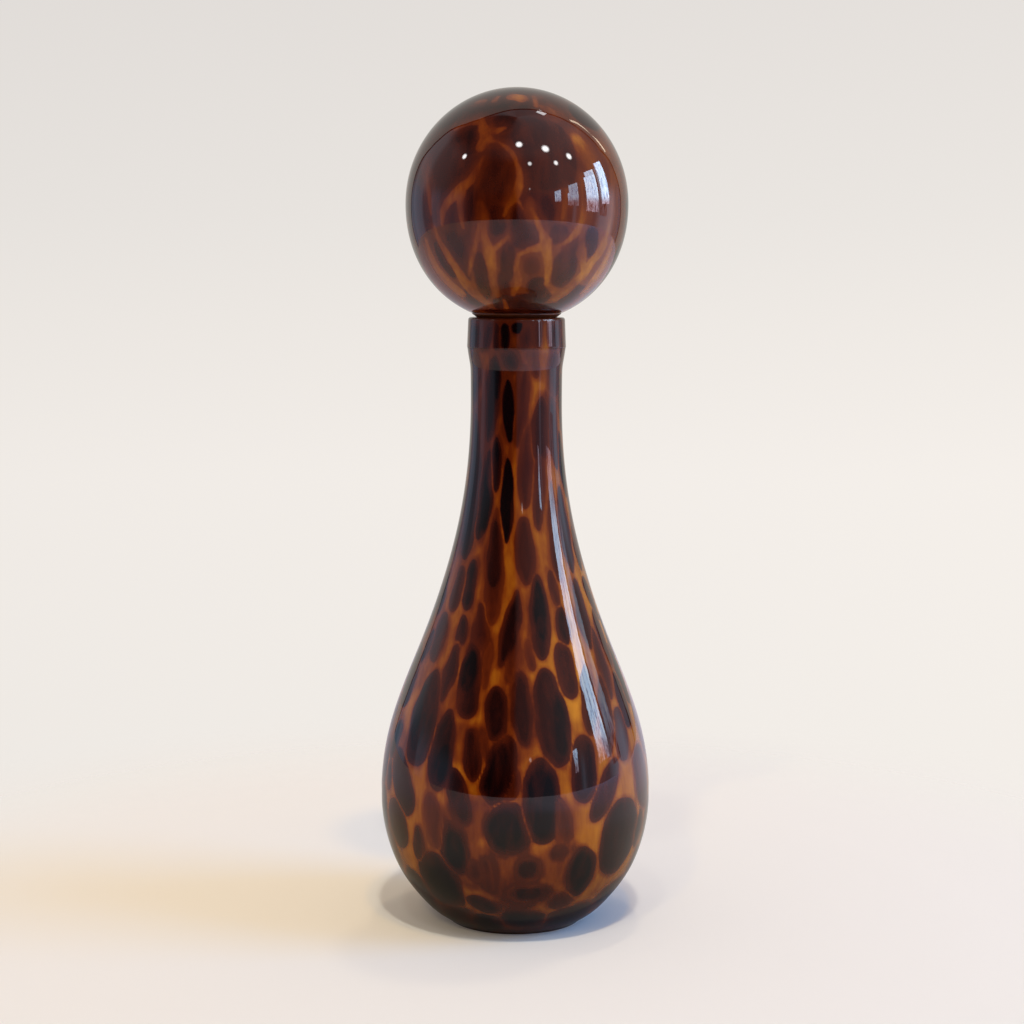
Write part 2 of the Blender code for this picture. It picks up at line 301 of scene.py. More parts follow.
BALL_VEINS = [
    Vein([(455, 129), (468, 124), (480, 121)], [1.2, 2.0, 3.5]),
    Vein([(481, 120), (484, 129), (486, 139), (481, 147)], [3.5, 5.5, 6.0, 4.5]),
    Vein([(488, 131), (497, 131), (505, 128)], [3.5, 2.6, 1.6]),
    Vein([(483, 157), (478, 168), (471, 180), (462, 188), (454, 196), (447, 203), (443, 212), (442, 224)],
         [1.0, 2.4, 3.8, 4.8, 4.6, 3.6, 2.6, 1.6]),
    Vein([(463, 190), (460, 202), (461, 216), (463, 228)], [3.2, 3.6, 2.6, 1.0]),
    Vein([(489, 141), (498, 142), (506, 147), (512, 153), (515, 159), (518, 167), (520, 176), (519, 186),
          (515, 197), (508, 206), (504, 216)], [2.4, 1.6, 1.6, 1.8, 2.2, 2.8, 3.6, 4.2, 4.4, 2.6, 1.0]),
    Vein([(514, 197), (520, 203), (523, 210)], [2.8, 1.2, 0.5]),
    Vein([(576, 138), (582, 147), (589, 157), (593, 164)], [4.6, 6.0, 4.8, 2.8]),
    Vein([(582, 178), (584, 192), (585, 207), (582, 221), (577, 231), (570, 239), (560, 246)],
         [1.6, 2.6, 3.4, 3.6, 3.8, 2.4, 1.0]),
    Vein([(566, 190), (565, 205), (563, 218)], [1.6, 2.8, 1.4]),
    Vein([(615, 176), (613, 198), (613, 212), (610, 228), (605, 243), (598, 254), (591, 263), (584, 274),
          (575, 283), (565, 292), (556, 299)], [1.5, 2.6, 3.4, 3.8, 4.0, 3.8, 3.4, 3.6, 3.6, 3.6, 2.4]),
    Vein([(585, 249), (583, 262), (584, 273)], [1.6, 2.6, 2.4]),
    Vein([(531, 208), (537, 221), (541, 231), (546, 242), (548, 256), (548, 270), (547, 284), (555, 292)],
         [1.2, 2.8, 3.4, 6.4, 5.0, 3.4, 2.6, 3.6]),
    Vein([(540, 247), (529, 250), (519, 255), (516, 268), (518, 284), (513, 295)],
         [4.0, 3.0, 2.4, 2.6, 3.8, 1.6]),
    Vein([(483, 222), (485, 238), (489, 252), (492, 268), (493, 284), (497, 296)],
         [2.0, 4.0, 6.6, 4.8, 3.2, 1.8]),
    Vein([(492, 251), (501, 243), (508, 237)], [3.0, 2.6, 1.4]),
    Vein([(434, 228), (439, 240), (447, 254), (455, 266), (464, 281), (473, 292), (485, 302)],
         [1.8, 2.4, 2.8, 3.4, 4.2, 4.0, 3.0]),
    Vein([(479, 224), (477, 240), (474, 252), (471, 264), (469, 276)], [1.2, 2.0, 2.6, 2.0, 1.0]),
    Vein([(426, 240), (430, 254), (437, 269), (447, 281), (459, 292)], [1.4, 2.4, 2.8, 3.4, 3.6]),
    Vein([(424, 166), (427, 178), (430, 200), (431, 214)], [1.0, 2.0, 2.4, 1.2]),
    Vein([(612, 240), (606, 260), (597, 277), (584, 292)], [1.6, 2.6, 3.0, 2.2]),
    Vein([(514, 97), (521, 98)], [3.2, 3.6]),
    Vein([(534, 97), (537, 106)], [1.8, 2.0]),
    Vein([(541, 106), (548, 109), (555, 113)], [1.6, 3.2, 3.0]),
    Vein([(494, 101), (498, 97)], [1.4, 1.0]),
    Vein([(478, 102), (484, 101)], [1.4, 1.6]),
    Vein([(504, 300), (507, 308), (507, 314)], [1.2, 1.8, 1.6]),
    Vein([(603, 147), (606, 152)], [1.6, 1.4]),
]
# Patches of another depth inside some of the spots of the bottle
BOTTLE_TONES = [
    Spot((497, 364), (497, 400), 3.6, 1.05),
    Spot((487, 488), (484, 532), 3.8, 1.05),
    Spot((495, 520), (493, 588), 8.0, 0.93),
    Spot((519, 592), (503, 662), 7.0, 0.96),
    Spot((538, 582), (543, 640), 6.5, 0.99),
    Spot((471, 650), (466, 692), 7.6, 0.99),
    Spot((427, 684), (414, 750), 6.5, 0.98),
    Spot((448, 745), (440, 782), 8.5, 0.99),
    Spot((500, 744), (490, 800), 12.0, 0.98),
    Spot((560, 690), (563, 755), 8.5, 0.97),
    Spot((588, 745), (588, 792), 8.0, 0.96),
    Spot((540, 770), (540, 836), 13.5, 1.0),
    Spot((502, 812), (508, 848), 15.0, 0.99),
    Spot((450, 832), (460, 868), 9.0, 1.0),
    Spot((434, 866), (452, 900), 9.5, 1.0),
    Spot((583, 852), (577, 890), 8.0, 0.99),
    Spot((517, 869), (537, 870), 8.4, 0.93),
    Spot((516, 896), (540, 893), 6.2, 0.94),
    Spot((622, 804), (609, 862), 8.0, 0.95),
]
# Thicker and thinner places in the amber of the bottle, where the depth is what is added to it. They also
# hold painted light and shade: lighter patches on the right side stand in for the light of the windows, and
# darker ones on the left and low down for shade.
AMBER_DEPTH_AND_PAINTED_LIGHT = [
    Spot((500, 424), (500, 466), 20.0, 0.20),
    Spot((540, 360), (537, 420), 9.0, -0.14),
    Spot((478, 622), (478, 668), 18.0, 0.22),
    Spot((470, 672), (468, 718), 20.0, 0.12),
    Spot((467, 722), (466, 765), 22.0, 0.34),
    Spot((467, 795), (467, 842), 24.0, 0.42),
    Spot((472, 842), (474, 890), 24.0, 0.32),
    Spot((515, 672), (515, 765), 24.0, 0.20),
    Spot((515, 845), (515, 912), 26.0, 0.26),
    Spot((562, 842), (562, 885), 22.0, 0.26),
    Spot((563, 800), (563, 838), 22.0, 0.16),
    Spot((552, 572), (574, 722), 20.0, -0.22),
    Spot((425, 722), (425, 765), 18.0, -0.16),
    Spot((440, 580), (416, 690), 15.0, 0.15),
    Spot((399, 700), (402, 760), 8.0, 0.28),
    Spot((500, 660), (500, 690), 12.0, 0.12),
    Spot((476, 780), (476, 796), 10.0, 0.16),
    Spot((604, 590), (632, 720), 15.0, -0.20),
    Spot((566, 540), (590, 620), 9.0, -0.10),
    Spot((560, 735), (575, 765), 9.0, -0.22),
    Spot((470, 896), (560, 892), 16.0, 0.08),
    Spot((479, 396), (474, 520), 7.0, 0.20),
    Spot((486, 353), (534, 352), 7.0, 0.13),
    Spot((512, 352), (508, 420), 14.0, 0.12),
    Spot((546, 322), (545, 352), 5.0, -0.24),
]
BALL_AMBER_TONES = [
    Spot((574, 134), (596, 168), 9.0, -0.12),
    Spot((574, 135), (579, 143), 4.5, -0.16),
    Spot((472, 178), (446, 204), 9.0, -0.16),
    Spot((516, 188), (508, 204), 6.0, 0.10),
    Spot((578, 280), (598, 262), 9.0, -0.20),
    Spot((512, 97), (524, 98), 7.0, -0.20),
    Spot((538, 222), (548, 262), 9.0, -0.04),
    Spot((606, 212), (609, 240), 8.0, 0.08),
]
# Half width and half length, in millimetres, of the spots out of the camera's sight, by height
BOTTLE_SPOT_SIZES = [
    (0, 6.6, 8.0), (30, 7.0, 10.5), (70, 6.4, 14.0), (110, 4.9, 15.0), (160, 3.4, 13.5), (262, 2.8, 14.0),
]
BALL_SPOT_SIZES = [(260, 5.4, 11.0), (285, 7.4, 13.0), (335, 8.2, 14.5), (362, 8.0, 12.0)]
BOTTLE_SPOT_DEPTHS = (0.82, 0.97)
BALL_SPOT_DEPTHS = (0.84, 0.96)
BOTTLE_SPOT_ROOM = 0.66
BALL_SPOT_ROOM = 0.5
# How those spots vary: their size, length, taper and lean, and the size of the last of them
SPOT_SCALES = (0.75, 1.15)
SPOT_STRETCHES = (0.85, 1.25)
SPOT_TAPERS = (-0.2, 0.1)
SPOT_LEAN = 0.14
LATE_SPOTS = 0.6
LATE_SPOT_SCALE = 0.62
WIDEST_SPOT = 0.6
SPOT_TRIES = 5200
# Where a new spot is tested for room: its middle and four places in it, as shares of its half sizes
TESTED_PLACES = np.array([(0, 0), (0, 0.75), (0, -0.75), (0.8, 0), (-0.8, 0)])
PATTERN_SEED = 817
# The patches inside those spots: how many spots have one, how far off the middle it lies, its size and depth
TONE_CHANCE = 0.75
DARK_TONE_CHANCE = 0.5
TONE_SHIFT = 0.35
TONE_SIDE = 0.3
TONE_SCALES = (0.45, 0.75)
DARK_TONES = (0.96, 1.0)
LIGHT_TONES = (0.05, 0.11)

SEEN_ANGLE = math.radians(66)
BALL_SEEN_ANGLE = math.radians(80)
BALL_SEEN_EDGE = math.radians(3)
BALL_TILT = 0.03
SMALLEST_VEIN = 0.75 * MM
SPOT_REACH = 6 * MM
TONE_BLEND = 1.5 * MM
AMBER_BLEND = 5 * MM
VEIN_SHARPNESS = 0.7
SPOT_SQUARENESS = 2.25
LONG_SPOT_SQUARENESS = 1.85
LONG_SPOT = 3.6
PLAIN_EDGE = 4 * MM
PLAIN_DEPTH = 0.82
BARE_DEPTH = 0.9
SPOT_APART = 0.1 * MM
SMALLEST_RADIUS = 2 * MM
FAR = 1.0
TINY = 1e-6

# How dark the ball is between its veins, and where that changes: from which place on, over what distance
# and by how much, with the distances as shares of its radius
FRONT_DEPTH = 0.885
FRONT_THICKER_HIGH = (0.70, 0.12, 0.07)
FRONT_THINNER_RIGHT = (0.05, 0.70, 0.20)
FRONT_THINNER_LOW = (0.12, 0.45, 0.19)
FRONT_CORNER = 3.2

# The waves in the edges of the spots and veins
RIPPLE = 0.45 * MM
VEIN_RIPPLE = 0.22 * MM
RIPPLE_RADIUS = 40 * MM
LEAST_RIPPLE = 0.4
RIPPLE_WAVES = 7
RIPPLE_TURNS = (6, 26)
VEIN_RIPPLE_TURNS = (8, 30)
RIPPLE_SLOPES = (180, 420)
RIPPLE_HEIGHT = 3.2

# How far the end of a seen spot is drawn towards the middle of the picture to find the glass
AXIS_PIXEL = IMAGE_SIZE / 2 + 4
DRAWN_SHARES = np.linspace(0, 0.3, 31)
PIXEL_ON_GLASS = 0.5 * MM


def natural_spline(points, heights):
    """Radii at the given heights on a smooth curve through (radius, height) points."""
    radius = np.array([point[0] for point in points])
    height = np.array([point[1] for point in points])
    step = np.diff(height)
    slope = np.diff(radius) / step
    size = len(points)
    matrix = np.eye(size)
    bend = np.zeros(size)
    for i in range(1, size - 1):
        matrix[i, i - 1:i + 2] = step[i - 1], 2 * (step[i - 1] + step[i]), step[i]
        bend[i] = 6 * (slope[i] - slope[i - 1])
    bend = np.linalg.solve(matrix, bend)
    at = np.clip(np.searchsorted(height, heights, side="right") - 1, 0, size - 2)
    left = heights - height[at]
    right = height[at + 1] - heights
    value = (bend[at] * right ** 3 + bend[at + 1] * left ** 3) / (6 * step[at])
    value += (radius[at] / step[at] - bend[at] * step[at] / 6) * right
    value += (radius[at + 1] / step[at] - bend[at + 1] * step[at] / 6) * left
    return value


def arc(centre, radii, start, end, steps):
    """Points on an elliptical arc, with the angles in degrees from +X, both ends included."""
    angles = np.radians(np.linspace(start, end, steps + 1))
    return [(centre[0] + radii[0] * math.cos(a), centre[1] + radii[1] * math.sin(a)) for a in angles]


def even_rows(points, count):
    """The same line of (radius, height) points, with its points evenly spaced along it."""
    points = np.array(points)
    along = np.concatenate([[0], np.cumsum(np.hypot(*np.diff(points, axis=0).T))])
    at = np.linspace(0, along[-1], count)
    return list(zip(np.interp(at, along, points[:, 0]), np.interp(at, along, points[:, 1])))


def bottle_outline():
    """The outside of the bottle from the foot up to the ledge under the collar, finely stepped."""
    points = []
    for height_share, radius_share in LOWER_OUTLINE_SHARES:
        radius = BASE_RADIUS + (BELLY_RADIUS - BASE_RADIUS) * radius_share
        points.append((radius, BELLY_HEIGHT * height_share))
    for height_share, radius_share in UPPER_OUTLINE_SHARES:
        radius = NECK_RADIUS + (BELLY_RADIUS - NECK_RADIUS) * radius_share
        points.append((radius, BELLY_HEIGHT + (WAIST_HEIGHT - BELLY_HEIGHT) * height_share))
    for height_share, radius_share in FLARE_OUTLINE_SHARES:
        radius = NECK_RADIUS + COLLAR_PROUD * radius_share
        points.append((radius, WAIST_HEIGHT + WAIST_BELOW_COLLAR * height_share))
    heights = np.linspace(0, LEDGE_HEIGHT, OUTLINE_STEPS)
    radii = np.minimum(natural_spline(points, heights), BELLY_RADIUS)
    outline = [(r, z) for r, z in zip(radii, heights) if z > BASE_ROUND]
    foot = arc((outline[0][0] - BASE_ROUND, BASE_ROUND), (BASE_ROUND, BASE_ROUND), -90, -30, EDGE_STEPS)
    return even_rows(foot + outline, OUTLINE_ROWS)


def bore_radius(height):
    """Radius of the tapered bore in the neck at a height above the base."""
    return BORE_RADIUS + BORE_TAPER * (height - WAIST_HEIGHT) / (NECK_TOP - WAIST_HEIGHT)


def bottle_inside(outline):
    """The inside of the bottle from the middle of its floor up to the top of the neck."""
    floor = PUNT_DEPTH + BASE_THICKNESS
    depth = BELLY_HEIGHT - floor
    points = []
    for angle in np.linspace(0, math.pi / 2, BOWL_STEPS, endpoint=False):
        radius = (BELLY_RADIUS - BELLY_WALL) * math.sin(angle) ** (2 / BOWL_SQUARENESS)
        points.append((radius, BELLY_HEIGHT - depth * math.cos(angle) ** (2 / BOWL_SQUARENESS)))
    for radius, height in outline:
        share = (height - BELLY_HEIGHT) / (WAIST_HEIGHT - BELLY_HEIGHT)
        if 0 <= share < 1:
            points.append((radius - BELLY_WALL - (NECK_WALL - BELLY_WALL) * share, height))
    points.append((BORE_RADIUS, WAIST_HEIGHT))
    points.append((bore_radius(NECK_TOP), NECK_TOP))
    return even_rows(points, INSIDE_ROWS)


def add_to_scene(name, data):
    """Puts a mesh, a camera or a lamp into the scene."""
    thing = bpy.data.objects.new(name, data)
    bpy.context.scene.collection.objects.link(thing)
    return thing


def mesh_piece(name, co, faces):
    """A piece made of corners and faces."""
    mesh = bpy.data.meshes.new(name)
    mesh.from_pydata(co, [], faces)
    return add_to_scene(name, mesh)


def turned_piece(name, profile, segments, closed):
    """A solid turned about the Z axis. Returns the piece and, for each vertex, its row in the profile."""
    angles = np.linspace(0, 2 * math.pi, segments, endpoint=False)
    co, rows, starts = [], [], []
    for i, (radius, height) in enumerate(profile):
        starts.append(len(co))
        if radius < ON_AXIS:
            co.append((0.0, 0.0, height))
            rows.append(i)
        else:
            co += [(radius * math.cos(a), radius * math.sin(a), height) for a in angles]
            rows += [i] * segments
    faces = []
    pairs = [(i, i + 1) for i in range(len(profile) - 1)] + ([(len(profile) - 1, 0)] if closed else [])
    for low, high in pairs:
        for j in range(segments):
            k = (j + 1) % segments
            if profile[low][0] < ON_AXIS:
                faces.append((starts[low], starts[high] + k, starts[high] + j))
            elif profile[high][0] < ON_AXIS:
                faces.append((starts[low] + j, starts[low] + k, starts[high]))
            else:
                faces.append((starts[low] + j, starts[low] + k, starts[high] + k, starts[high] + j))
    piece = mesh_piece(name, co, faces)
    mesh = piece.data
    shape = bmesh.new()
    shape.from_mesh(mesh)
    bmesh.ops.recalc_face_normals(shape, faces=shape.faces)
    shape.to_mesh(mesh)
    shape.free()
    mesh.polygons.foreach_set("use_smooth", [True] * len(mesh.polygons))
    mesh.set_sharp_from_angle(angle=SHARP_ANGLE)
    return piece, np.array(rows)


def make_camera():
    """The camera of the photograph, which looks slightly down at the decanter."""
    data = bpy.data.cameras.new("camera")
    data.sensor_width = SENSOR_WIDTH
    data.lens = SENSOR_WIDTH * FOCAL_PIXELS / IMAGE_SIZE
    data.clip_start = 0.01
    data.clip_end = 50
    camera = add_to_scene("camera", data)
    camera.location = CAMERA_SPOT
    pitch = math.atan2(CAMERA_DROP, -CAMERA_SPOT.y)
    look = Euler((math.radians(90) - pitch, 0, 0)).to_matrix()
    camera.rotation_euler = (look @ Matrix.Rotation(math.radians(CAMERA_ROLL), 3, "Z")).to_euler()
    bpy.context.scene.camera = camera
    bpy.context.view_layer.update()
    return camera


class GlassSkin:
    """The outside of a turned piece, unrolled: an angle round the axis and a distance along the outline."""

    def __init__(self, camera, outline):
        self.turn = camera.matrix_world.to_3x3()
        self.radii = np.array([point[0] for point in outline])
        self.heights = np.array([point[1] for point in outline])
        steps = np.hypot(np.diff(self.radii), np.diff(self.heights))
        self.along = np.concatenate([[0], np.cumsum(steps)])
        angles = np.linspace(0, 2 * math.pi, SKIN_SEGMENTS, endpoint=False)
        co = [(r * math.cos(a), r * math.sin(a), z) for r, z in outline for a in angles]
        faces = []
        for row in range(len(outline) - 1):
            low, high = row * SKIN_SEGMENTS, (row + 1) * SKIN_SEGMENTS
            for j in range(SKIN_SEGMENTS):
                k = (j + 1) % SKIN_SEGMENTS
                faces.append((low + j, low + k, high + k, high + j))
        self.tree = BVHTree.FromPolygons(co, faces)

    def at_pixel(self, pixel):
        """Where the line of sight through a pixel meets the glass, as (angle, distance), or None."""
        point = self.seen(pixel)
        if point is None:
            return None
        return math.atan2(point.y, point.x), self.at_height(point.z)

    def seen(self, pixel):
        """The place on the glass that a pixel shows, or None."""
        half = IMAGE_SIZE / 2
        sight = self.turn @ Vector(((pixel[0] - half) / FOCAL_PIXELS, (half - pixel[1]) / FOCAL_PIXELS, -1))
        return self.tree.ray_cast(CAMERA_SPOT, sight.normalized())[0]

    def width_at(self, pixel, run, half_width):
        """Half the width on the glass of a stroke, from its half width in pixels and the way that it runs."""
        side = Vector((-run.y, run.x)) * half_width
        ends = [self.seen(Vector(pixel) + side), self.seen(Vector(pixel) - side)]
        if None in ends:
            return half_width * PIXEL_ON_GLASS
        return (ends[0] - ends[1]).length / 2

    def at_height(self, height):
        """Distance along the outline at a height."""
        order = np.argsort(self.heights)
        return float(np.interp(height, self.heights[order], self.along[order]))

    def radius(self, distance):
        """Radius of the glass at a distance along the outline."""
        return np.interp(distance, self.along, self.radii)

    def height(self, distance):
        """Height of the glass at a distance along the outline."""
        return np.interp(distance, self.along, self.heights)


def wrapped(angle):
    """An angle brought to between -pi and pi."""
    return (angle + math.pi) % (2 * math.pi) - math.pi


# A spot on the unrolled glass, with the radius of the glass there and the group of spots that it runs into
Patch = namedtuple("Patch", "angle distance half_length half_width lean depth taper group radius")


def near_places(patch, angle, distance, margin):
    """The numbers of the places that lie within a margin of a patch."""
    reach = max(patch.half_length, patch.half_width) + margin
    near = np.abs(distance - patch.distance) < reach
    near &= np.abs(wrapped(angle - patch.angle)) * patch.radius < reach
    return np.nonzero(near)[0]


def edge_distance(patch, angle, distance):
    """How far in from the edge of a patch the places lie, less than zero outside it."""
    across = wrapped(angle - patch.angle) * patch.radius
    up = distance - patch.distance
    length = (across * math.sin(patch.lean) + up * math.cos(patch.lean)) / patch.half_length
    width = patch.half_width * (1 + patch.taper * np.clip(length, -1, 1))
    side = (across * math.cos(patch.lean) - up * math.sin(patch.lean)) / width
    power = LONG_SPOT_SQUARENESS if patch.half_length > LONG_SPOT * patch.half_width else SPOT_SQUARENESS
    reach = (np.abs(length) ** power + np.abs(side) ** power) ** (1 / power) + TINY
    steep = np.hypot((np.abs(length) / reach) ** (power - 1) / patch.half_length,
                     (np.abs(side) / reach) ** (power - 1) / width) + TINY
    return np.clip((1 - reach) / steep, -FAR, patch.half_width)


class Spots:
    """Dark spots in the glass, laid out on an unrolled skin."""

    def __init__(self, skin):
        self.skin = skin
        self.rows = []
        self.group_names = {}

    def add(self, angle, distance, half_length, half_width, lean, depth, taper, name=None):
        """Adds a spot. Spots with the same name run into each other."""
        name = name or f"spot {len(self.rows)}"
        group = self.group_names.setdefault(name, len(self.group_names))
        radius = max(float(self.skin.radius(distance)), SMALLEST_RADIUS)
        self.rows.append(Patch(angle, distance, half_length, half_width, lean, depth, taper, group, radius))

    def add_all(self, table):
        """Adds the seen spots of a table. Returns the spots."""
        for spot in table:
            self.add_seen(spot)
        return self

    def add_seen(self, spot):
        """Adds a spot by its pixels in the photograph."""
        ends = [self.skin_end(pixel) for pixel in (spot.top, spot.bottom)]
        if None in ends:
            return
        (angle_a, along_a), (angle_b, along_b) = ends
        middle = angle_b + wrapped(angle_a - angle_b) / 2
        distance = (along_a + along_b) / 2
        radius = float(self.skin.radius(distance))
        across = wrapped(angle_a - angle_b) * radius
        up = along_a - along_b
        self.add(middle, distance, math.hypot(across, up) / 2, self.half_width(spot, radius),
                 math.atan2(across, up), spot.depth, spot.taper, spot.joins)

    def skin_end(self, pixel):
        """The place of a pixel on the skin, drawn in to its edge if it misses the glass, or None."""
        for share in DRAWN_SHARES:
            place = self.skin.at_pixel((pixel[0] + (AXIS_PIXEL - pixel[0]) * share, pixel[1]))
            if place:
                return place
        return None

    def half_width(self, spot, radius):
        """Half the width of a seen spot on the glass, from its half width in pixels."""
        top, bottom = Vector(spot.top), Vector(spot.bottom)
        centre = (top + bottom) / 2
        side = Vector((top.y - bottom.y, bottom.x - top.x)).normalized() * spot.half_width
        middle = self.skin.at_pixel(centre)
        widths = []
        for pixel in (centre - side, centre + side):
            place = self.skin.at_pixel(pixel)
            if place and middle:
                widths.append(math.hypot(wrapped(place[0] - middle[0]) * radius, place[1] - middle[1]))
        return sum(widths) / len(widths) if widths else spot.half_width * PIXEL_ON_GLASS

    def deepest(self, angle, distance):
        """The greatest edge distance over all spots at a few places, with the spots taken as ellipses."""
        if not self.rows:
            return np.full(len(angle), -FAR)
        table = Patch(*np.array(self.rows).T[:, :, None])
        across = wrapped(angle[None] - table.angle) * table.radius
        up = distance[None] - table.distance
        length = (across * np.sin(table.lean) + up * np.cos(table.lean)) / table.half_length
        side = (across * np.cos(table.lean) - up * np.sin(table.lean)) / table.half_width
        reach = np.hypot(length, side) + TINY
        steep = np.hypot(length / table.half_length, side / table.half_width) / reach + TINY
        return ((1 - reach) / steep).max(axis=0)

    def fill(self, sizes, low, high, random, depths, room, placed):
        """Throws more spots onto the glass, wherever one has room, but not where they were listed."""
        heights, half_widths, half_lengths = np.array(sizes).T * MM
        total = self.skin.along[-1]
        for attempt in range(SPOT_TRIES):
            angle = random.uniform(-math.pi, math.pi)
            distance = random.uniform(0, total)
            chance = random.uniform(0, 1)
            late = attempt >= SPOT_TRIES * LATE_SPOTS
            scale = random.uniform(*SPOT_SCALES) * (LATE_SPOT_SCALE if late else 1)
            stretch = random.uniform(*SPOT_STRETCHES)
            lean = random.normal(0, SPOT_LEAN)
            depth = random.uniform(*depths)
            taper = random.uniform(*SPOT_TAPERS)
            radius = float(self.skin.radius(distance))
            height = float(self.skin.height(distance))
            if chance > radius / self.skin.radii.max() or not low < height < high:
                continue
            if placed(angle, height, radius):
                continue
            half_width = float(np.interp(height, heights, half_widths)) * scale
            half_length = float(np.interp(height, heights, half_lengths)) * scale * stretch
            half_width = min(half_width, radius * WIDEST_SPOT)
            side = TESTED_PLACES[:, 0] * half_width
            length = TESTED_PLACES[:, 1] * half_length
            turned = (side * math.cos(lean) + length * math.sin(lean)) / max(radius, SMALLEST_RADIUS)
            moved = length * math.cos(lean) - side * math.sin(lean)
            space = -self.deepest(angle + turned, distance + moved)
            if space[0] > half_width * room and space[1:].min() > SPOT_APART:
                self.add(angle, distance, half_length, half_width, lean, depth, taper)

    def spread(self, angle, distance):
        """For each place: how far it is inside its spot, with a vein kept between spots, and its depth."""
        best = np.full(len(angle), -FAR)
        second = np.full(len(angle), -FAR)
        best_group = np.full(len(angle), -1)
        depth = np.full(len(angle), BARE_DEPTH)
        for patch in self.rows:
            where = near_places(patch, angle, distance, SPOT_REACH)
            edge = edge_distance(patch, angle[where], distance[where])
            ahead = edge > best[where]
            same = best_group[where] == patch.group
            pushed = where[ahead & ~same]
            second[pushed] = best[pushed]
            behind = where[~ahead & ~same]
            second[behind] = np.maximum(second[behind], edge[~ahead & ~same])
            won = where[ahead]
            best[won] = edge[ahead]
            best_group[won] = patch.group
            depth[won] = patch.depth
        return np.minimum(best, (best - second - SMALLEST_VEIN) / 2), depth


def ripple(angle, distance, random, size, turns):
    """A smooth wavy number over the skin, between about minus and plus size, that closes round the axis."""
    total = np.zeros(len(angle))
    for _ in range(RIPPLE_WAVES):
        round_count = int(random.integers(*turns))
        slope = random.uniform(*RIPPLE_SLOPES) * random.choice([-1, 1])
        total += np.sin(round_count * angle + slope * distance + random.uniform(0, 2 * math.pi))
    return total * size / RIPPLE_HEIGHT


def keep_numbers(piece, name, values):
    """Keeps one number per vertex on a piece, for its material."""
    attribute = piece.data.attributes.new(name, "FLOAT", "POINT")
    attribute.data.foreach_set("value", np.asarray(values, np.float32))


def front_of_bottle(angle, height, radius):
    """Whether the camera sees this place well enough for its spots to be listed one by one."""
    return abs(wrapped(angle + math.pi / 2)) < SEEN_ANGLE


def ball_turn(co):
    """The angle between each place on the ball and the side that faces the camera."""
    out = (np.atleast_2d(co) - (0, 0, BALL_CENTRE)) / BALL_RADIUS
    length = np.linalg.norm(out, axis=1)
    facing = (out @ np.array([0, -math.cos(BALL_TILT), math.sin(BALL_TILT)])) / length
    return np.arccos(np.clip(facing, -1, 1))


def front_of_ball(angle, height, radius):
    """Whether this place on the ball is in the camera's sight."""
    place = (radius * math.cos(angle), radius * math.sin(angle), height)
    return ball_turn(place)[0] < BALL_SEEN_ANGLE - BALL_SEEN_EDGE


def ball_front(co):
    """How far inside the dark front of the ball each place lies."""
    return (BALL_SEEN_ANGLE - ball_turn(co)) * BALL_RADIUS


def rising(values, start, span, amount):
    """A change that begins at one value and is whole a span further on."""
    return np.clip((values - start) / span, 0, 1) * amount


def front_depth(co):
    """How dark the glass between the veins of the ball is, lighter to the right and low down."""
    out = (co - (0, 0, BALL_CENTRE)) / BALL_RADIUS
    high = rising(out[:, 2], *FRONT_THICKER_HIGH)
    right = rising(out[:, 0], *FRONT_THINNER_RIGHT)
    low = rising(-out[:, 2], *FRONT_THINNER_LOW)
    return FRONT_DEPTH + high - right - low + FRONT_CORNER * right * low


def paint(numbers, patches, angle, distance, blend, added=False):
    """Blends the depths of patches into a row of numbers, or adds them."""
    for patch in patches.rows:
        where = near_places(patch, angle, distance, 2 * blend)
        share = np.clip(edge_distance(patch, angle[where], distance[where]) / blend + 0.5, 0, 1)
        share = share * share * (3 - 2 * share)
        numbers[where] += (patch.depth if added else patch.depth - numbers[where]) * share


def vein_distance(skin, veins, co):
    """How far each place lies outside the nearest vein, less than zero inside one."""
    nearest = np.full(len(co), FAR)
    for vein in veins:
        ends = [skin.seen(pixel) for pixel in vein.points]
        for i in range(len(ends) - 1):
            if ends[i] is None or ends[i + 1] is None:
                continue
            start = np.array(ends[i])
            run = np.array(ends[i + 1] - ends[i])
            way = (Vector(vein.points[i + 1]) - Vector(vein.points[i])).normalized()
            widths = [skin.width_at(vein.points[j], way, vein.half_widths[j]) for j in (i, i + 1)]
            share = np.clip(((co - start) @ run) / max(run @ run, TINY ** 2), 0, 1)
            away = np.linalg.norm(co - start - share[:, None] * run, axis=1)
            nearest = np.minimum(nearest, away - (widths[0] + (widths[1] - widths[0]) * share))
    return nearest


# What lies in the glass of a piece: its spots, the patches of another depth in the spots and in the amber,
# with painted light and shade among the amber patches of the bottle, and, on the ball, how far a place is
# inside the dark front and the veins that cross it
Pattern = namedtuple("Pattern", "spots tones amber front veins", defaults=(None, ()))


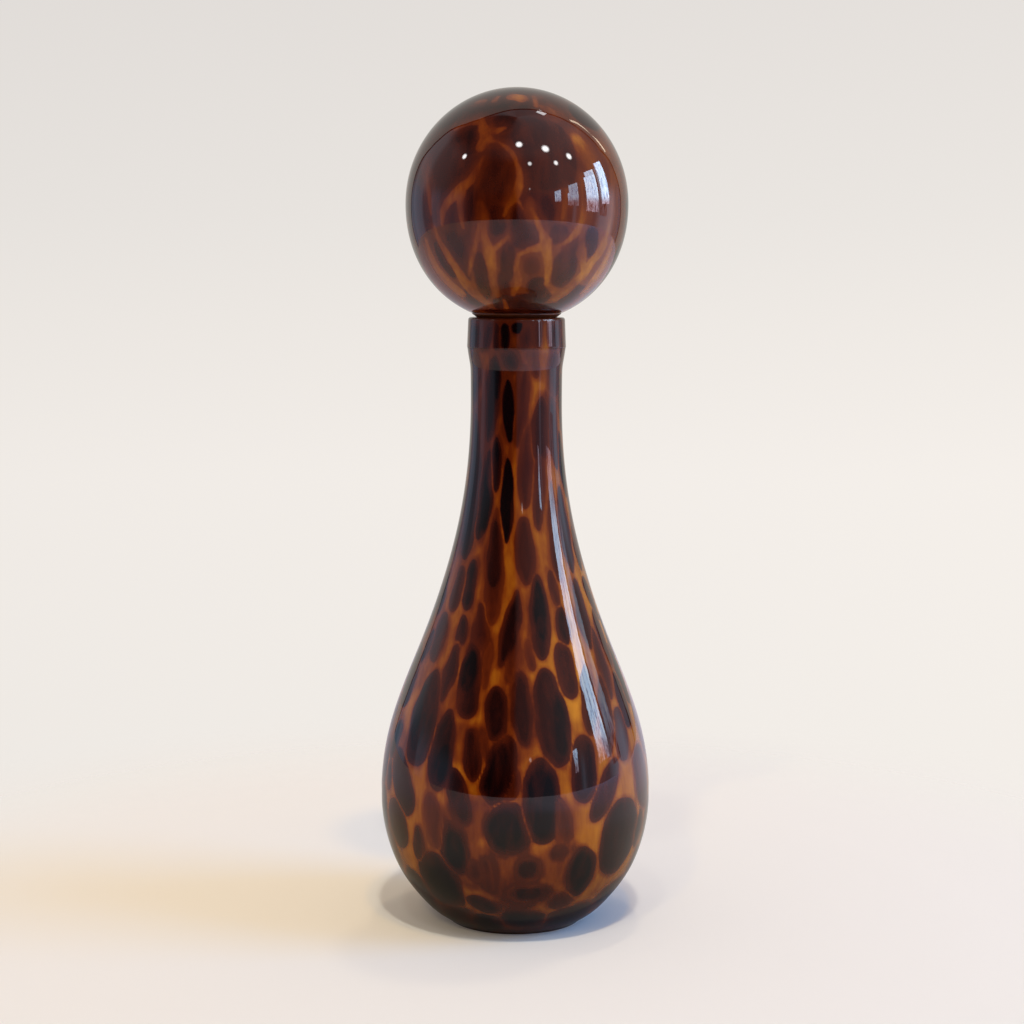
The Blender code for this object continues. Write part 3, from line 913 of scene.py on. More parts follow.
def lay_spots(piece, rows, first, distances, pattern, random):
    """Lays a pattern on the outer rows of a turned piece. Everything else is left as plain dark glass."""
    co = np.empty(len(piece.data.vertices) * 3)
    piece.data.vertices.foreach_get("co", co)
    co = co.reshape(-1, 3)
    last = first + len(distances) - 1
    outside = (rows >= first) & (rows <= last)
    angle = np.arctan2(co[:, 1], co[:, 0])
    distance = distances[np.clip(rows - first, 0, last - first)]
    radius = np.maximum(np.hypot(co[:, 0], co[:, 1]), SMALLEST_RADIUS)
    size = RIPPLE * np.clip(radius / RIPPLE_RADIUS, LEAST_RIPPLE, 1)
    wavy_angle = angle + ripple(angle, distance, random, size, RIPPLE_TURNS) / radius
    wavy_distance = distance + ripple(angle, distance, random, size, RIPPLE_TURNS)
    edge, depth = pattern.spots.spread(wavy_angle, wavy_distance)
    sharpness = 1.0
    if pattern.front:
        front = pattern.front(co)
        depth = np.where(front > edge, front_depth(co), depth)
        edge = np.maximum(edge, front)
        away = vein_distance(pattern.spots.skin, pattern.veins, co)
        away += ripple(angle, distance, random, VEIN_RIPPLE, VEIN_RIPPLE_TURNS)
        edge = np.minimum(edge, away)
        sharpness = VEIN_SHARPNESS
    paint(depth, pattern.tones, wavy_angle, wavy_distance, TONE_BLEND)
    # The amber patches, which on the bottle also paint light and shade
    shift = np.zeros(len(co))
    paint(shift, pattern.amber, angle, distance, AMBER_BLEND, added=True)
    keep_numbers(piece, "amber_shift_and_painted_light", shift)
    keep_numbers(piece, "spot_edge", np.where(outside, edge, PLAIN_EDGE) * sharpness / MM)
    keep_numbers(piece, "spot_depth", np.where(outside, depth, PLAIN_DEPTH))


def tones_from(spots, tones, random, placed):
    """Gives most of the spots that were filled in a patch of another depth."""
    for patch in list(spots.rows):
        chance = random.uniform(0, 1)
        height = float(spots.skin.height(patch.distance))
        if placed(patch.angle, height, patch.radius) or chance > TONE_CHANCE:
            continue
        shift = random.uniform(-TONE_SHIFT, TONE_SHIFT) * patch.half_length
        side = random.uniform(-TONE_SIDE, TONE_SIDE) * patch.half_width
        if chance < DARK_TONE_CHANCE:
            depth = random.uniform(*DARK_TONES)
        else:
            depth = patch.depth - random.uniform(*LIGHT_TONES)
        half_length = patch.half_length * random.uniform(*TONE_SCALES)
        half_width = patch.half_width * random.uniform(*TONE_SCALES)
        tones.add(patch.angle + side / patch.radius, patch.distance + shift, half_length, half_width,
                  patch.lean, depth, patch.taper)


def make_bottle(camera, random):
    """The bottle and its collar, with one run of spots over both."""
    outline = bottle_outline()
    collar_steps = int(round((RIM_HEIGHT - LEDGE_HEIGHT) / (outline[-1][1] - outline[-2][1])))
    above = [(COLLAR_RADIUS, z) for z in np.linspace(LEDGE_HEIGHT, RIM_HEIGHT, collar_steps + 1)[1:]]
    skin = GlassSkin(camera, outline + above)
    spots = Spots(skin).add_all(NECK_SPOTS + SHOULDER_SPOTS + BELLY_SPOTS)
    spots.fill(BOTTLE_SPOT_SIZES, 1 * MM, RIM_HEIGHT - 1 * MM, random, BOTTLE_SPOT_DEPTHS, BOTTLE_SPOT_ROOM,
               front_of_bottle)
    tones = Spots(skin).add_all(BOTTLE_TONES)
    tones_from(spots, tones, random, front_of_bottle)
    pattern = Pattern(spots, tones, Spots(skin).add_all(AMBER_DEPTH_AND_PAINTED_LIGHT))

    ring_inside = BASE_RADIUS - STANDING_RING_WIDTH
    inside = bottle_inside(outline)
    neck_outside = COLLAR_INSIDE - SEAT_GAP
    punt = [(ring_inside * share, PUNT_DEPTH * (1 - share ** 2)) for share in np.linspace(1, 0, PUNT_ROWS)]
    profile = inside + [(neck_outside, NECK_TOP), (neck_outside, LEDGE_HEIGHT)] + outline[::-1] + punt
    body, rows = turned_piece("bottle_glass", profile, BOTTLE_SEGMENTS, False)
    lay_spots(body, rows, len(inside) + 2, skin.along[:len(outline)][::-1], pattern, random)

    outer = collar_outside()
    top = RIM_HEIGHT - LIP_THICKNESS
    inner = [(COLLAR_INSIDE, LEDGE_HEIGHT + COLLAR_LIFT), (COLLAR_INSIDE, top), (MOUTH_RADIUS, top)]
    inner += arc((MOUTH_RADIUS + LIP_ROUND, RIM_HEIGHT - LIP_ROUND), (LIP_ROUND, LIP_ROUND), 180, 90,
                 LIP_STEPS)
    collar, rows = turned_piece("collar_glass", inner + outer, BOTTLE_SEGMENTS, True)
    distances = np.array([skin.at_height(z) for _, z in outer])
    lay_spots(collar, rows, len(inner), distances, pattern, random)
    return body, collar


def collar_outside():
    """The outside of the collar from the middle of its lip down to its lower edge."""
    top_radius = COLLAR_RADIUS - COLLAR_LEAN
    wall_top = RIM_HEIGHT - LIP_ROUND
    wall_bottom = LEDGE_HEIGHT + COLLAR_LIFT + COLLAR_EDGE_ROUND
    outer = arc((top_radius - LIP_ROUND, wall_top), (LIP_ROUND, LIP_ROUND), 90, 0, LIP_STEPS)
    wall = np.linspace(0, 1, COLLAR_ROWS)[1:-1]
    outer += [(top_radius + COLLAR_LEAN * t, wall_top + (wall_bottom - wall_top) * t) for t in wall]
    edge_round = (COLLAR_EDGE_ROUND, COLLAR_EDGE_ROUND)
    return outer + arc((COLLAR_RADIUS - COLLAR_EDGE_ROUND, wall_bottom), edge_round, 0, -80, EDGE_STEPS)


def ball_outline():
    """The outside of the ball from its top down to its foot."""
    power = 2 / BALL_LOWER_SQUARENESS
    foot_angle = math.asin((BALL_FOOT_RADIUS / BALL_RADIUS) ** (1 / power))
    points = arc((0, BALL_CENTRE), (BALL_RADIUS, BALL_UPPER_HEIGHT), 90, 0, BALL_STEPS)
    for angle in np.linspace(math.pi / 2, foot_angle, BALL_STEPS)[1:]:
        radius = BALL_RADIUS * math.sin(angle) ** power
        points.append((radius, BALL_CENTRE - BALL_LOWER_HEIGHT * math.cos(angle) ** power))
    points[0] = (0.0, points[0][1])
    return even_rows(points, BALL_ROWS)


def make_ball(camera, random):
    """The hollow ball of the stopper."""
    outline = ball_outline()
    skin = GlassSkin(camera, outline)
    spots = Spots(skin)
    spots.fill(BALL_SPOT_SIZES, BALL_LOW.z, BALL_HIGH.z, random, BALL_SPOT_DEPTHS, BALL_SPOT_ROOM,
               front_of_ball)
    tones = Spots(skin)
    tones_from(spots, tones, random, front_of_ball)
    tones.add_all(BALL_TONES)
    pattern = Pattern(spots, tones, Spots(skin).add_all(BALL_AMBER_TONES), ball_front, BALL_VEINS)

    bore = plug_radius(PLUG_LOW.z) - PLUG_WALL
    hollow_radius = BALL_RADIUS - BALL_WALL
    hollow_top = BALL_HIGH.z - BALL_WALL
    hollow_bottom = BALL_LOW.z + BALL_FLOOR
    bore_share = math.sqrt(1 - (bore / hollow_radius) ** 2)
    half_height = (hollow_top - hollow_bottom) / (1 + bore_share)
    bore_angle = -math.degrees(math.acos(bore / hollow_radius))
    profile = outline + [(bore, BALL_LOW.z)]
    profile += arc((0, hollow_top - half_height), (hollow_radius, half_height), bore_angle, 90, HOLLOW_STEPS)
    profile[-1] = (0.0, hollow_top)
    ball, rows = turned_piece("ball_glass", profile, BALL_SEGMENTS, False)
    lay_spots(ball, rows, 0, skin.along, pattern, random)
    return ball


def plug_radius(height):
    """Outside of the plug at a height above the base."""
    return bore_radius(height) - PLUG_CLEARANCE


def make_plug():
    """The tapered tube under the ball, flared where it meets the ball, with a groove for the seal."""
    bore = plug_radius(PLUG_LOW.z) - PLUG_WALL
    top = PLUG_HIGH.z + SEAT_GAP - PLUG_TOP_GAP
    flare_bottom = PLUG_HIGH.z - PLUG_FLARE_HEIGHT
    points = [(bore, top), (BALL_FOOT_RADIUS, top), (BALL_FOOT_RADIUS, PLUG_HIGH.z)]
    for share in np.linspace(0, 1, FLARE_ROWS)[1:]:
        flare = PLUG_FLARE * (1 - share)
        points.append((plug_radius(flare_bottom) + flare, PLUG_HIGH.z - PLUG_FLARE_HEIGHT * share))
    groove_top, groove_bottom = SEAL_HIGH.z + SEAT_GAP, SEAL_LOW.z - SEAT_GAP
    for height, depth in ((groove_top, 0), (groove_top, SEAL_GROOVE_DEPTH),
                          (groove_bottom, SEAL_GROOVE_DEPTH), (groove_bottom, 0)):
        points.append((plug_radius(height) - depth, height))
    end = (plug_radius(PLUG_LOW.z) - PLUG_END_ROUND, PLUG_LOW.z + PLUG_END_ROUND)
    points += arc(end, (PLUG_END_ROUND, PLUG_END_ROUND), 0, -90, PLUG_END_STEPS)
    inner_end = (bore + PLUG_BORE_ROUND, PLUG_LOW.z + PLUG_BORE_ROUND)
    points += arc(inner_end, (PLUG_BORE_ROUND, PLUG_BORE_ROUND), -90, -180, EDGE_STEPS)
    return turned_piece("plug_tube", points, SMALL_SEGMENTS, True)[0]


def make_seal():
    """The rubber sleeve round the plug, with round ribs."""
    top, bottom = SEAL_HIGH.z, SEAL_LOW.z
    rib_span = (top - bottom) / SEAL_RIBS
    points = []
    for height in np.linspace(top, bottom, SEAL_RIBS * ROWS_IN_A_RIB + 1):
        wave = abs(math.sin(math.pi * (top - height) / rib_span))
        tip = plug_radius(height) + PLUG_CLEARANCE - SEAT_GAP
        points.append((tip - SEAL_RIB_HEIGHT * (1 - wave), height))
    for height in (bottom, top):
        points.append((plug_radius(height) - SEAL_GROOVE_DEPTH + SEAT_GAP, height))
    return turned_piece("seal_sleeve", points, SMALL_SEGMENTS, True)[0]


def set_inputs(tree, node, inputs):
    """Gives each input of a node its number, its row of numbers or its link."""
    for key, value in inputs.items():
        if isinstance(value, bpy.types.NodeSocket):
            tree.links.new(value, node.inputs[key])
        else:
            node.inputs[key].default_value = value


def new_node(tree, kind, inputs=None, **settings):
    """A node with its settings and its inputs."""
    node = tree.nodes.new(kind)
    for name, value in settings.items():
        setattr(node, name, value)
    set_inputs(tree, node, inputs or {})
    return node


def math_node(tree, operation, *values, clamp=False):
    """A Math node of numbers or sockets. Returns its output."""
    node = new_node(tree, "ShaderNodeMath", dict(enumerate(values)), operation=operation, use_clamp=clamp)
    return node.outputs[0]


def centred(tree, noise, size):
    """A noise brought to between minus and plus half a size."""
    return math_node(tree, "MULTIPLY", math_node(tree, "SUBTRACT", noise, 0.5), size)


def smooth_step(tree, value, low, high, to_low=0.0, to_high=1.0):
    """A value that eases from one number to another. Returns its output."""
    inputs = {"Value": value, "From Min": low, "From Max": high, "To Min": to_low, "To Max": to_high}
    return new_node(tree, "ShaderNodeMapRange", inputs, interpolation_type="SMOOTHSTEP").outputs["Result"]


def mix_numbers(tree, share, first, second):
    """A blend of two numbers. A Mix node takes its numbers in sockets 2 and 3."""
    return new_node(tree, "ShaderNodeMix", {0: share, 2: first, 3: second}, data_type="FLOAT").outputs[0]


def mix_colours(tree, share, first, second, blend="MIX"):
    """A blend of two colours. A Mix node takes its colours in sockets 6 and 7."""
    inputs = {0: share, 6: first, 7: second}
    return new_node(tree, "ShaderNodeMix", inputs, data_type="RGBA", blend_type=blend).outputs[2]


def scaled_colour(tree, colour, scale):
    """A colour made lighter or darker."""
    return new_node(tree, "ShaderNodeVectorMath", {0: colour, "Scale": scale}, operation="SCALE").outputs[0]


def noise_node(tree, vector, scale, detail=2.0, roughness=0.5, distortion=0.0):
    """A noise texture. Returns its number."""
    inputs = {"Vector": vector, "Scale": scale, "Detail": detail, "Roughness": roughness}
    inputs["Distortion"] = distortion
    return new_node(tree, "ShaderNodeTexNoise", inputs).outputs["Fac"]


def object_place(tree):
    """Where a point of the glass lies, in metres."""
    return new_node(tree, "ShaderNodeTexCoord").outputs["Object"]


def stretched(tree, place, up):
    """Places for a pattern that is drawn out along Z if up is below 1, or pressed flat if above."""
    return new_node(tree, "ShaderNodeMapping", {"Vector": place, "Scale": (1, 1, up)}).outputs["Vector"]


def split(tree, vector):
    """The X, Y and Z of a vector."""
    return new_node(tree, "ShaderNodeSeparateXYZ", {0: vector}).outputs


def number_from(tree, name):
    """A number that was kept on each vertex."""
    return new_node(tree, "ShaderNodeAttribute", attribute_name=name).outputs["Fac"]


def colour_ramp(tree, value, stops, interpolation="LINEAR"):
    """A colour ramp from (position, colour) stops. Returns its colour output."""
    node = new_node(tree, "ShaderNodeValToRGB", {"Fac": value})
    node.color_ramp.interpolation = interpolation
    elements = node.color_ramp.elements
    while len(elements) < len(stops):
        elements.new(0.5)
    for element, (position, colour) in zip(elements, stops):
        element.position = position
        element.color = (*colour, 1)
    return node.outputs["Color"]


def bumped(tree, height, strength, distance):
    """The normal of a surface that a height stands out of."""
    inputs = {"Height": height, "Strength": strength, "Distance": distance}
    return new_node(tree, "ShaderNodeBump", inputs).outputs["Normal"]


def new_group(name, inputs, outputs):
    """A shader node group with the numbers that it takes in. Returns it, its inputs and its outputs."""
    tree = bpy.data.node_groups.new(name, "ShaderNodeTree")
    for socket, number in inputs.items():
        face = tree.interface.new_socket(socket, in_out="INPUT", socket_type="NodeSocketFloat")
        face.default_value = number
    for socket, kind in outputs.items():
        tree.interface.new_socket(socket, in_out="OUTPUT", socket_type=kind)
    return tree, new_node(tree, "NodeGroupInput").outputs, new_node(tree, "NodeGroupOutput")


# Colours of the cased glass, from thin clear amber to the thickest dark brown
GLASS_COLOURS = [
    (0.0, (0.46, 0.165, 0.008)),
    (0.22, (0.30, 0.088, 0.004)),
    (0.45, (0.175, 0.034, 0.0022)),
    (0.65, (0.095, 0.0135, 0.0016)),
    (0.80, (0.050, 0.0062, 0.0013)),
    (0.90, (0.026, 0.0030, 0.0010)),
    (1.0, (0.0030, 0.0004, 0.0005)),
]
# How far the edge of a spot blurs, and the brown glass that trails off outside it, in millimetres
EDGE_WOBBLE = 0.5
SOFT_EDGE = (-0.42, 0.48)
TRAIL_SPREAD = 7.0
TRAIL_EDGE = (-2.4, 0.6)
# How much streaks and threads add to the depth of the amber and of the spots
AMBER_STREAKS = 0.42
AMBER_THREADS = 0.24
DEEPEST_AMBER = 0.76
SPOT_RIM = (0.2, 3.2, -0.09, 0.015)
SPOT_STREAKS = -0.09
STREAK_EDGE = (0.46, 0.74)
SPOT_THREADS = 0.06
# Painted shade: the colour of the bottle is darkened towards its foot, up to this height
FOOT_PAINTED_SHADE = (0.0, 0.055, 0.52, 1.0)


def tortoise_group():
    """Amber glass with dark brown spots in it, under a clear casing, and painted shade that darkens it
    towards the foot.
    """
    numbers = {"Vein depth": 0.3, "Vein variation": 0.3, "Spot shift": 0.0, "Halo": 0.25}
    tree, given, result = new_group("tortoiseshell glass colour", numbers, {"Color": "NodeSocketColor"})
    place = object_place(tree)
    drawn = stretched(tree, place, 0.2)
    streaks = noise_node(tree, drawn, scale=130, detail=3, roughness=0.6, distortion=0.3)
    threads = noise_node(tree, drawn, scale=420)
    clouds = noise_node(tree, drawn, scale=40)
    trails = noise_node(tree, drawn, scale=75, distortion=0.5)
    grain = noise_node(tree, place, scale=420)

    # Edge of the spots, with a little wobble, and thin brown glass that trails off round them
    edge = math_node(tree, "ADD", number_from(tree, "spot_edge"), centred(tree, grain, EDGE_WOBBLE))
    inside = smooth_step(tree, edge, *SOFT_EDGE)
    trail = math_node(tree, "ADD", centred(tree, trails, TRAIL_SPREAD), edge)
    halo = math_node(tree, "MULTIPLY", smooth_step(tree, trail, *TRAIL_EDGE), given["Halo"])

    # Depth of the amber: redder by the spots, uneven from place to place, and deeper or lighter by the kept
    # amber patches, which on the bottle also paint shade and light
    base = math_node(tree, "ADD", given["Vein depth"], number_from(tree, "amber_shift_and_painted_light"))
    uneven = centred(tree, clouds, given["Vein variation"])
    streaky = centred(tree, streaks, AMBER_STREAKS)
    vein = math_node(tree, "ADD", base, math_node(tree, "ADD", uneven, streaky))
    vein = math_node(tree, "ADD", vein, centred(tree, threads, AMBER_THREADS))
    vein = math_node(tree, "ADD", vein, halo, clamp=True)
    vein = math_node(tree, "MINIMUM", vein, DEEPEST_AMBER)

    # Depth of the spots: lighter towards their edges, with streaks of redder glass
    spot = math_node(tree, "ADD", number_from(tree, "spot_depth"), given["Spot shift"])
    spot = math_node(tree, "ADD", spot, smooth_step(tree, edge, *SPOT_RIM))
    streaky = math_node(tree, "MULTIPLY", smooth_step(tree, streaks, *STREAK_EDGE), SPOT_STREAKS)
    spot = math_node(tree, "ADD", spot, math_node(tree, "ADD", streaky, centred(tree, threads, SPOT_THREADS)))
    depth = math_node(tree, "MINIMUM", mix_numbers(tree, inside, vein, spot), 1.0)
    # Painted shade: the colour is darkened towards the foot of the bottle
    foot = smooth_step(tree, split(tree, place)["Z"], *FOOT_PAINTED_SHADE)
    colour = scaled_colour(tree, colour_ramp(tree, depth, GLASS_COLOURS), foot)
    set_inputs(tree, result, {"Color": colour})
    return tree


# Where the smudges begin and are whole, and how high cords and threads stand in the waves of the surface
SMUDGE_EDGE = (0.5, 0.72)
CORD_HEIGHT = 0.14
THREAD_HEIGHT = 0.07


def hand_blown_group():
    """The faint waves and smudges of a hand-blown surface."""
    numbers = {"Polish": 0.02, "Smudges": 0.02}
    outputs = {"Roughness": "NodeSocketFloat", "Waves": "NodeSocketFloat"}
    tree, given, result = new_group("hand-blown surface", numbers, outputs)
    place = object_place(tree)
    smudge = noise_node(tree, place, scale=38, detail=4, roughness=0.6, distortion=0.4)
    smudge = smooth_step(tree, smudge, *SMUDGE_EDGE)
    rough = math_node(tree, "MULTIPLY_ADD", smudge, given["Smudges"], given["Polish"])
    drawn = stretched(tree, place, 0.3)
    waves = noise_node(tree, drawn, scale=26, detail=1, roughness=0.4)
    cords = noise_node(tree, drawn, scale=150, detail=1, roughness=0.4)
    threads = noise_node(tree, stretched(tree, place, 0.1), scale=430)
    height = math_node(tree, "MULTIPLY_ADD", cords, CORD_HEIGHT, waves)
    height = math_node(tree, "MULTIPLY_ADD", threads, THREAD_HEIGHT, height)
    set_inputs(tree, result, {"Roughness": rough, "Waves": height})
    return tree


# A tortoiseshell glass: the depth of its amber by height in metres and how much that varies, its gloss, the
# brown glass that trails off round its spots, the waves in its surface, and what its spots gain in depth
Glass = namedtuple("Glass", "amber_depths variation gloss halo waves spot_shift")

BOTTLE_GLASS = Glass(
    amber_depths=[
        (0.0, 0.9), (0.003, 0.8), (0.009, 0.42), (0.03, 0.30), (0.06, 0.22), (0.10, 0.26), (0.14, 0.33),
        (0.18, 0.42), (0.246, 0.50), (0.2634, 0.72),
    ],
    variation=0.5, gloss=0.42, halo=0.27, waves=0.75, spot_shift=0.0,
)
BALL_GLASS = Glass(
    amber_depths=[
        (0.2634, 0.32), (0.283, 0.31), (0.298, 0.38), (0.315, 0.48), (0.33, 0.52), (0.3475, 0.54),
        (0.3604, 0.46),
    ],
    variation=0.4, gloss=0.5, halo=0.12, waves=0.20, spot_shift=-0.05,
)
GLASS_IOR = 1.5
WAVE_HEIGHT = 0.25 * MM
SCRATCH_DEPTH = 0.04 * MM
GRAIN_DEPTH = 0.03 * MM
# The roughness of the plug and the rubber by their patterns, as (from, to, first, last)
PLUG_ROUGHNESS = (0.3, 0.7, 0.26, 0.42)
RUBBER_ROUGHNESS = (0.3, 0.7, 0.48, 0.66)
PLUG_CLOUDS = (0.9, 0.12)
DUST_EDGE = (0.5, 0.75)
PLUG_COLOURS = [(0.25, (0.16, 0.045, 0.010)), (0.55, (0.09, 0.022, 0.007)), (0.8, (0.03, 0.007, 0.004))]
RUBBER_COLOURS = [(0.0, (0.010, 0.010, 0.011)), (1.0, (0.032, 0.031, 0.030))]


def new_material(name):
    """A material with one shader. Returns the material, its node tree and the shader."""
    material = bpy.data.materials.new(name)
    material.use_nodes = True
    return material, material.node_tree, material.node_tree.nodes["Principled BSDF"]


def tortoise_glass(name, colour_tree, surface_tree, glass):
    """Glossy cased glass with dark spots in amber."""
    material, tree, shader = new_material(name)
    low, high = glass.amber_depths[0][0], glass.amber_depths[-1][0]
    height = {"Value": split(tree, object_place(tree))["Z"], "From Min": low, "From Max": high}
    share = new_node(tree, "ShaderNodeMapRange", height).outputs["Result"]
    stops = [((z - low) / (high - low), (depth,) * 3) for z, depth in glass.amber_depths]
    colour = new_node(tree, "ShaderNodeGroup", node_tree=colour_tree)
    set_inputs(tree, colour, {
        "Vein depth": colour_ramp(tree, share, stops, "EASE"),
        "Vein variation": glass.variation,
        "Spot shift": glass.spot_shift,
        "Halo": glass.halo,
    })
    surface = new_node(tree, "ShaderNodeGroup", node_tree=surface_tree)
    set_inputs(tree, surface, {"Polish": 0.018, "Smudges": 0.025})
    set_inputs(tree, shader, {
        "Base Color": colour.outputs["Color"],
        "Roughness": surface.outputs["Roughness"],
        "Normal": bumped(tree, surface.outputs["Waves"], glass.waves, WAVE_HEIGHT),
        "IOR": GLASS_IOR,
        "Specular IOR Level": glass.gloss,
    })
    return material


def plug_glass():
    """Brown glass with the satin of fine grinding, scratched round the taper."""
    material, tree, shader = new_material("plug_glass")
    place = object_place(tree)
    scratches = noise_node(tree, stretched(tree, place, 14), scale=190, detail=3, roughness=0.6)
    clouds = math_node(tree, "MULTIPLY_ADD", noise_node(tree, place, scale=45), *PLUG_CLOUDS)
    set_inputs(tree, shader, {
        "Base Color": colour_ramp(tree, clouds, PLUG_COLOURS),
        "Roughness": smooth_step(tree, scratches, *PLUG_ROUGHNESS),
        "Normal": bumped(tree, scratches, 0.35, SCRATCH_DEPTH),
        "IOR": GLASS_IOR,
    })
    return material


def seal_rubber():
    """Matte black rubber with a fine grain and a little dust in patches."""
    material, tree, shader = new_material("seal_rubber")
    place = object_place(tree)
    grain = noise_node(tree, place, scale=900, detail=3, roughness=0.6)
    dust = smooth_step(tree, noise_node(tree, place, scale=60, detail=4, roughness=0.6), *DUST_EDGE)
    set_inputs(tree, shader, {
        "Base Color": colour_ramp(tree, dust, RUBBER_COLOURS),
        "Roughness": smooth_step(tree, grain, *RUBBER_ROUGHNESS),
        "Normal": bumped(tree, grain, 0.5, GRAIN_DEPTH),
    })
    return material


def dress(piece, material, body, node):
    """Gives a piece its material and the body that it rides on, and hides the solid that it stands for."""
    piece.data.materials.append(material)
    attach(piece, body)
    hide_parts(node)


# The room that the glass mirrors, as (degrees round from the camera towards +X, brightness)
LOW_ROOM = [
    (-180, 0.62), (-142, 0.56), (-136, 0.34), (-131, 0.56), (-115, 0.56), (-112, 0.30), (-99, 0.31),
    (-97, 0.58), (-87, 0.56), (-84, 0.38), (-60, 0.32), (-53, 0.10), (-40, 0.02), (-1, 0.01), (2, 0.15),
    (28, 0.24), (48, 0.24), (58, 0.30), (61, 0.95), (64, 0.36), (88, 0.44), (96, 1.20), (114, 1.20),
    (122, 0.45), (128, 0.40), (134, 0.36), (138, 0.62), (180, 0.64),
]
MIDDLE_ROOM = [
    (-180, 0.46), (-142, 0.42), (-136, 0.22), (-131, 0.62), (-112, 0.70), (-104, 0.44), (-84, 0.38),
    (-68, 0.22), (-52, 0.12), (-40, 0.05), (-3, 0.04), (2, 0.20), (28, 0.34), (50, 0.50), (112, 0.46),
    (126, 0.34), (131, 0.20), (136, 0.50), (180, 0.48),
]
HIGH_ROOM = [
    (-180, 0.42), (-150, 0.55), (-125, 0.50), (-112, 0.10), (-60, 0.10), (-24, 0.15), (-4, 0.34), (20, 0.46),
    (60, 0.58), (110, 0.70), (128, 0.50), (150, 0.46), (180, 0.42),
]
# Between which degrees up the low room passes into the middle one, and that into the high one
MIDDLE_ROOM_START = (4, 14)
HIGH_ROOM_START = (36, 50)
ROOM_TINT = (0.92, 0.92, 1.0, 1)
LOW_ROOM_TINT = (0.80, 1.02, 1.36, 1)
# Lamps on the ceiling, as (degrees round, degrees up, radius in degrees, brightness)
CEILING_LAMPS = [
    (3, 57, 3.0, 26.0), (41, 50, 3.4, 26.0), (68, 38.5, 2.8, 24.0), (47, 35.5, 2.2, 22.0),
    (15, 37.0, 2.0, 16.0), (-69, 38, 2.3, 22.0), (13, 13, 1.0, 4.0),
]
LAMP_DARK, LAMP_FULL = 1.25, 0.45
BACKDROP_STOPS = [
    (-90, (0.86, 0.82, 0.78)), (-14, (0.87, 0.83, 0.785)), (-5.5, (0.885, 0.842, 0.80)),
    (-1.5, (0.845, 0.805, 0.765)), (1.5, (0.805, 0.770, 0.735)), (7, (0.765, 0.730, 0.700)),
    (20, (0.74, 0.71, 0.68)), (90, (0.74, 0.71, 0.68)),
]
BACKDROP_SLOPE = 0.09
BACKDROP_LEVEL = 1.008
AMBIENT_COLOUR = (0.461, 0.394, 0.343, 1)


def room_way(degrees, up):
    """The direction of a place in the room."""
    side, tilt = math.radians(degrees), math.radians(up)
    return Vector((math.sin(side) * math.cos(tilt), -math.cos(side) * math.cos(tilt), math.sin(tilt)))


def room_ramp(tree, turn, stops):
    """The brightness of the room all the way round."""
    return colour_ramp(tree, turn, [((degrees + 180) / 360, (level,) * 3) for degrees, level in stops])


def make_world():
    """A pale backdrop for the camera, a darker room with lamps for the glass to mirror, and soft light."""
    world = bpy.data.worlds.new("room")
    bpy.context.scene.world = world
    world.use_nodes = True
    tree = world.node_tree
    tree.nodes.clear()
    way = new_node(tree, "ShaderNodeTexCoord").outputs["Generated"]
    parts = split(tree, way)
    forward = math_node(tree, "MULTIPLY", parts["Y"], -1.0)
    round_angle = math_node(tree, "ARCTAN2", parts["X"], forward)
    turn = math_node(tree, "MULTIPLY_ADD", round_angle, 1 / (2 * math.pi), 0.5)
    rise = math_node(tree, "MULTIPLY", math_node(tree, "ARCSINE", parts["Z"]), 180 / math.pi)

    to_middle = smooth_step(tree, rise, *MIDDLE_ROOM_START)
    to_high = smooth_step(tree, rise, *HIGH_ROOM_START)
    low, middle, high = (room_ramp(tree, turn, stops) for stops in (LOW_ROOM, MIDDLE_ROOM, HIGH_ROOM))
    room = mix_colours(tree, to_high, mix_colours(tree, to_middle, low, middle), high)
    tint = mix_colours(tree, to_middle, LOW_ROOM_TINT, ROOM_TINT)
    room = mix_colours(tree, 1.0, room, tint, "MULTIPLY")
    lamps = 0.0
    for degrees, up, size, brightness in CEILING_LAMPS:
        ends = {0: way, 1: room_way(degrees, up)}
        apart = new_node(tree, "ShaderNodeVectorMath", ends, operation="DISTANCE").outputs["Value"]
        reach = math.radians(size)
        glow = smooth_step(tree, apart, reach * LAMP_DARK, reach * LAMP_FULL, to_high=brightness)
        lamps = math_node(tree, "ADD", glow, lamps)
    mirrored = mix_colours(tree, 1.0, room, lamps, "ADD")

    level = math_node(tree, "MULTIPLY_ADD", rise, 1 / 180, 0.5)
    stops = [((degrees + 90) / 180, colour) for degrees, colour in BACKDROP_STOPS]
    backdrop = colour_ramp(tree, level, stops)
    slope = math_node(tree, "MULTIPLY_ADD", parts["X"], BACKDROP_SLOPE, BACKDROP_LEVEL)
    path = new_node(tree, "ShaderNodeLightPath").outputs
    unseen = mix_colours(tree, path["Is Glossy Ray"], AMBIENT_COLOUR, mirrored)
    seen = mix_colours(tree, path["Is Camera Ray"], unseen, scaled_colour(tree, backdrop, slope))
    background = new_node(tree, "ShaderNodeBackground", {"Color": seen})
    new_node(tree, "ShaderNodeOutputWorld", {"Surface": background.outputs[0]})


def stage_material(name):
    """A material of the room with nothing in it yet."""
    material = bpy.data.materials.new(name)
    material.use_nodes = True
    material.node_tree.nodes.clear()
    return material


def end_with(tree, shader):
    """Puts a shader on the surface."""
    new_node(tree, "ShaderNodeOutputMaterial", {"Surface": shader.outputs[0]})


FLOOR_RADIUS = 1.46
FLOOR_CORNERS = 160
FLOOR_WHITE = (0.90, 0.875, 0.845, 1)
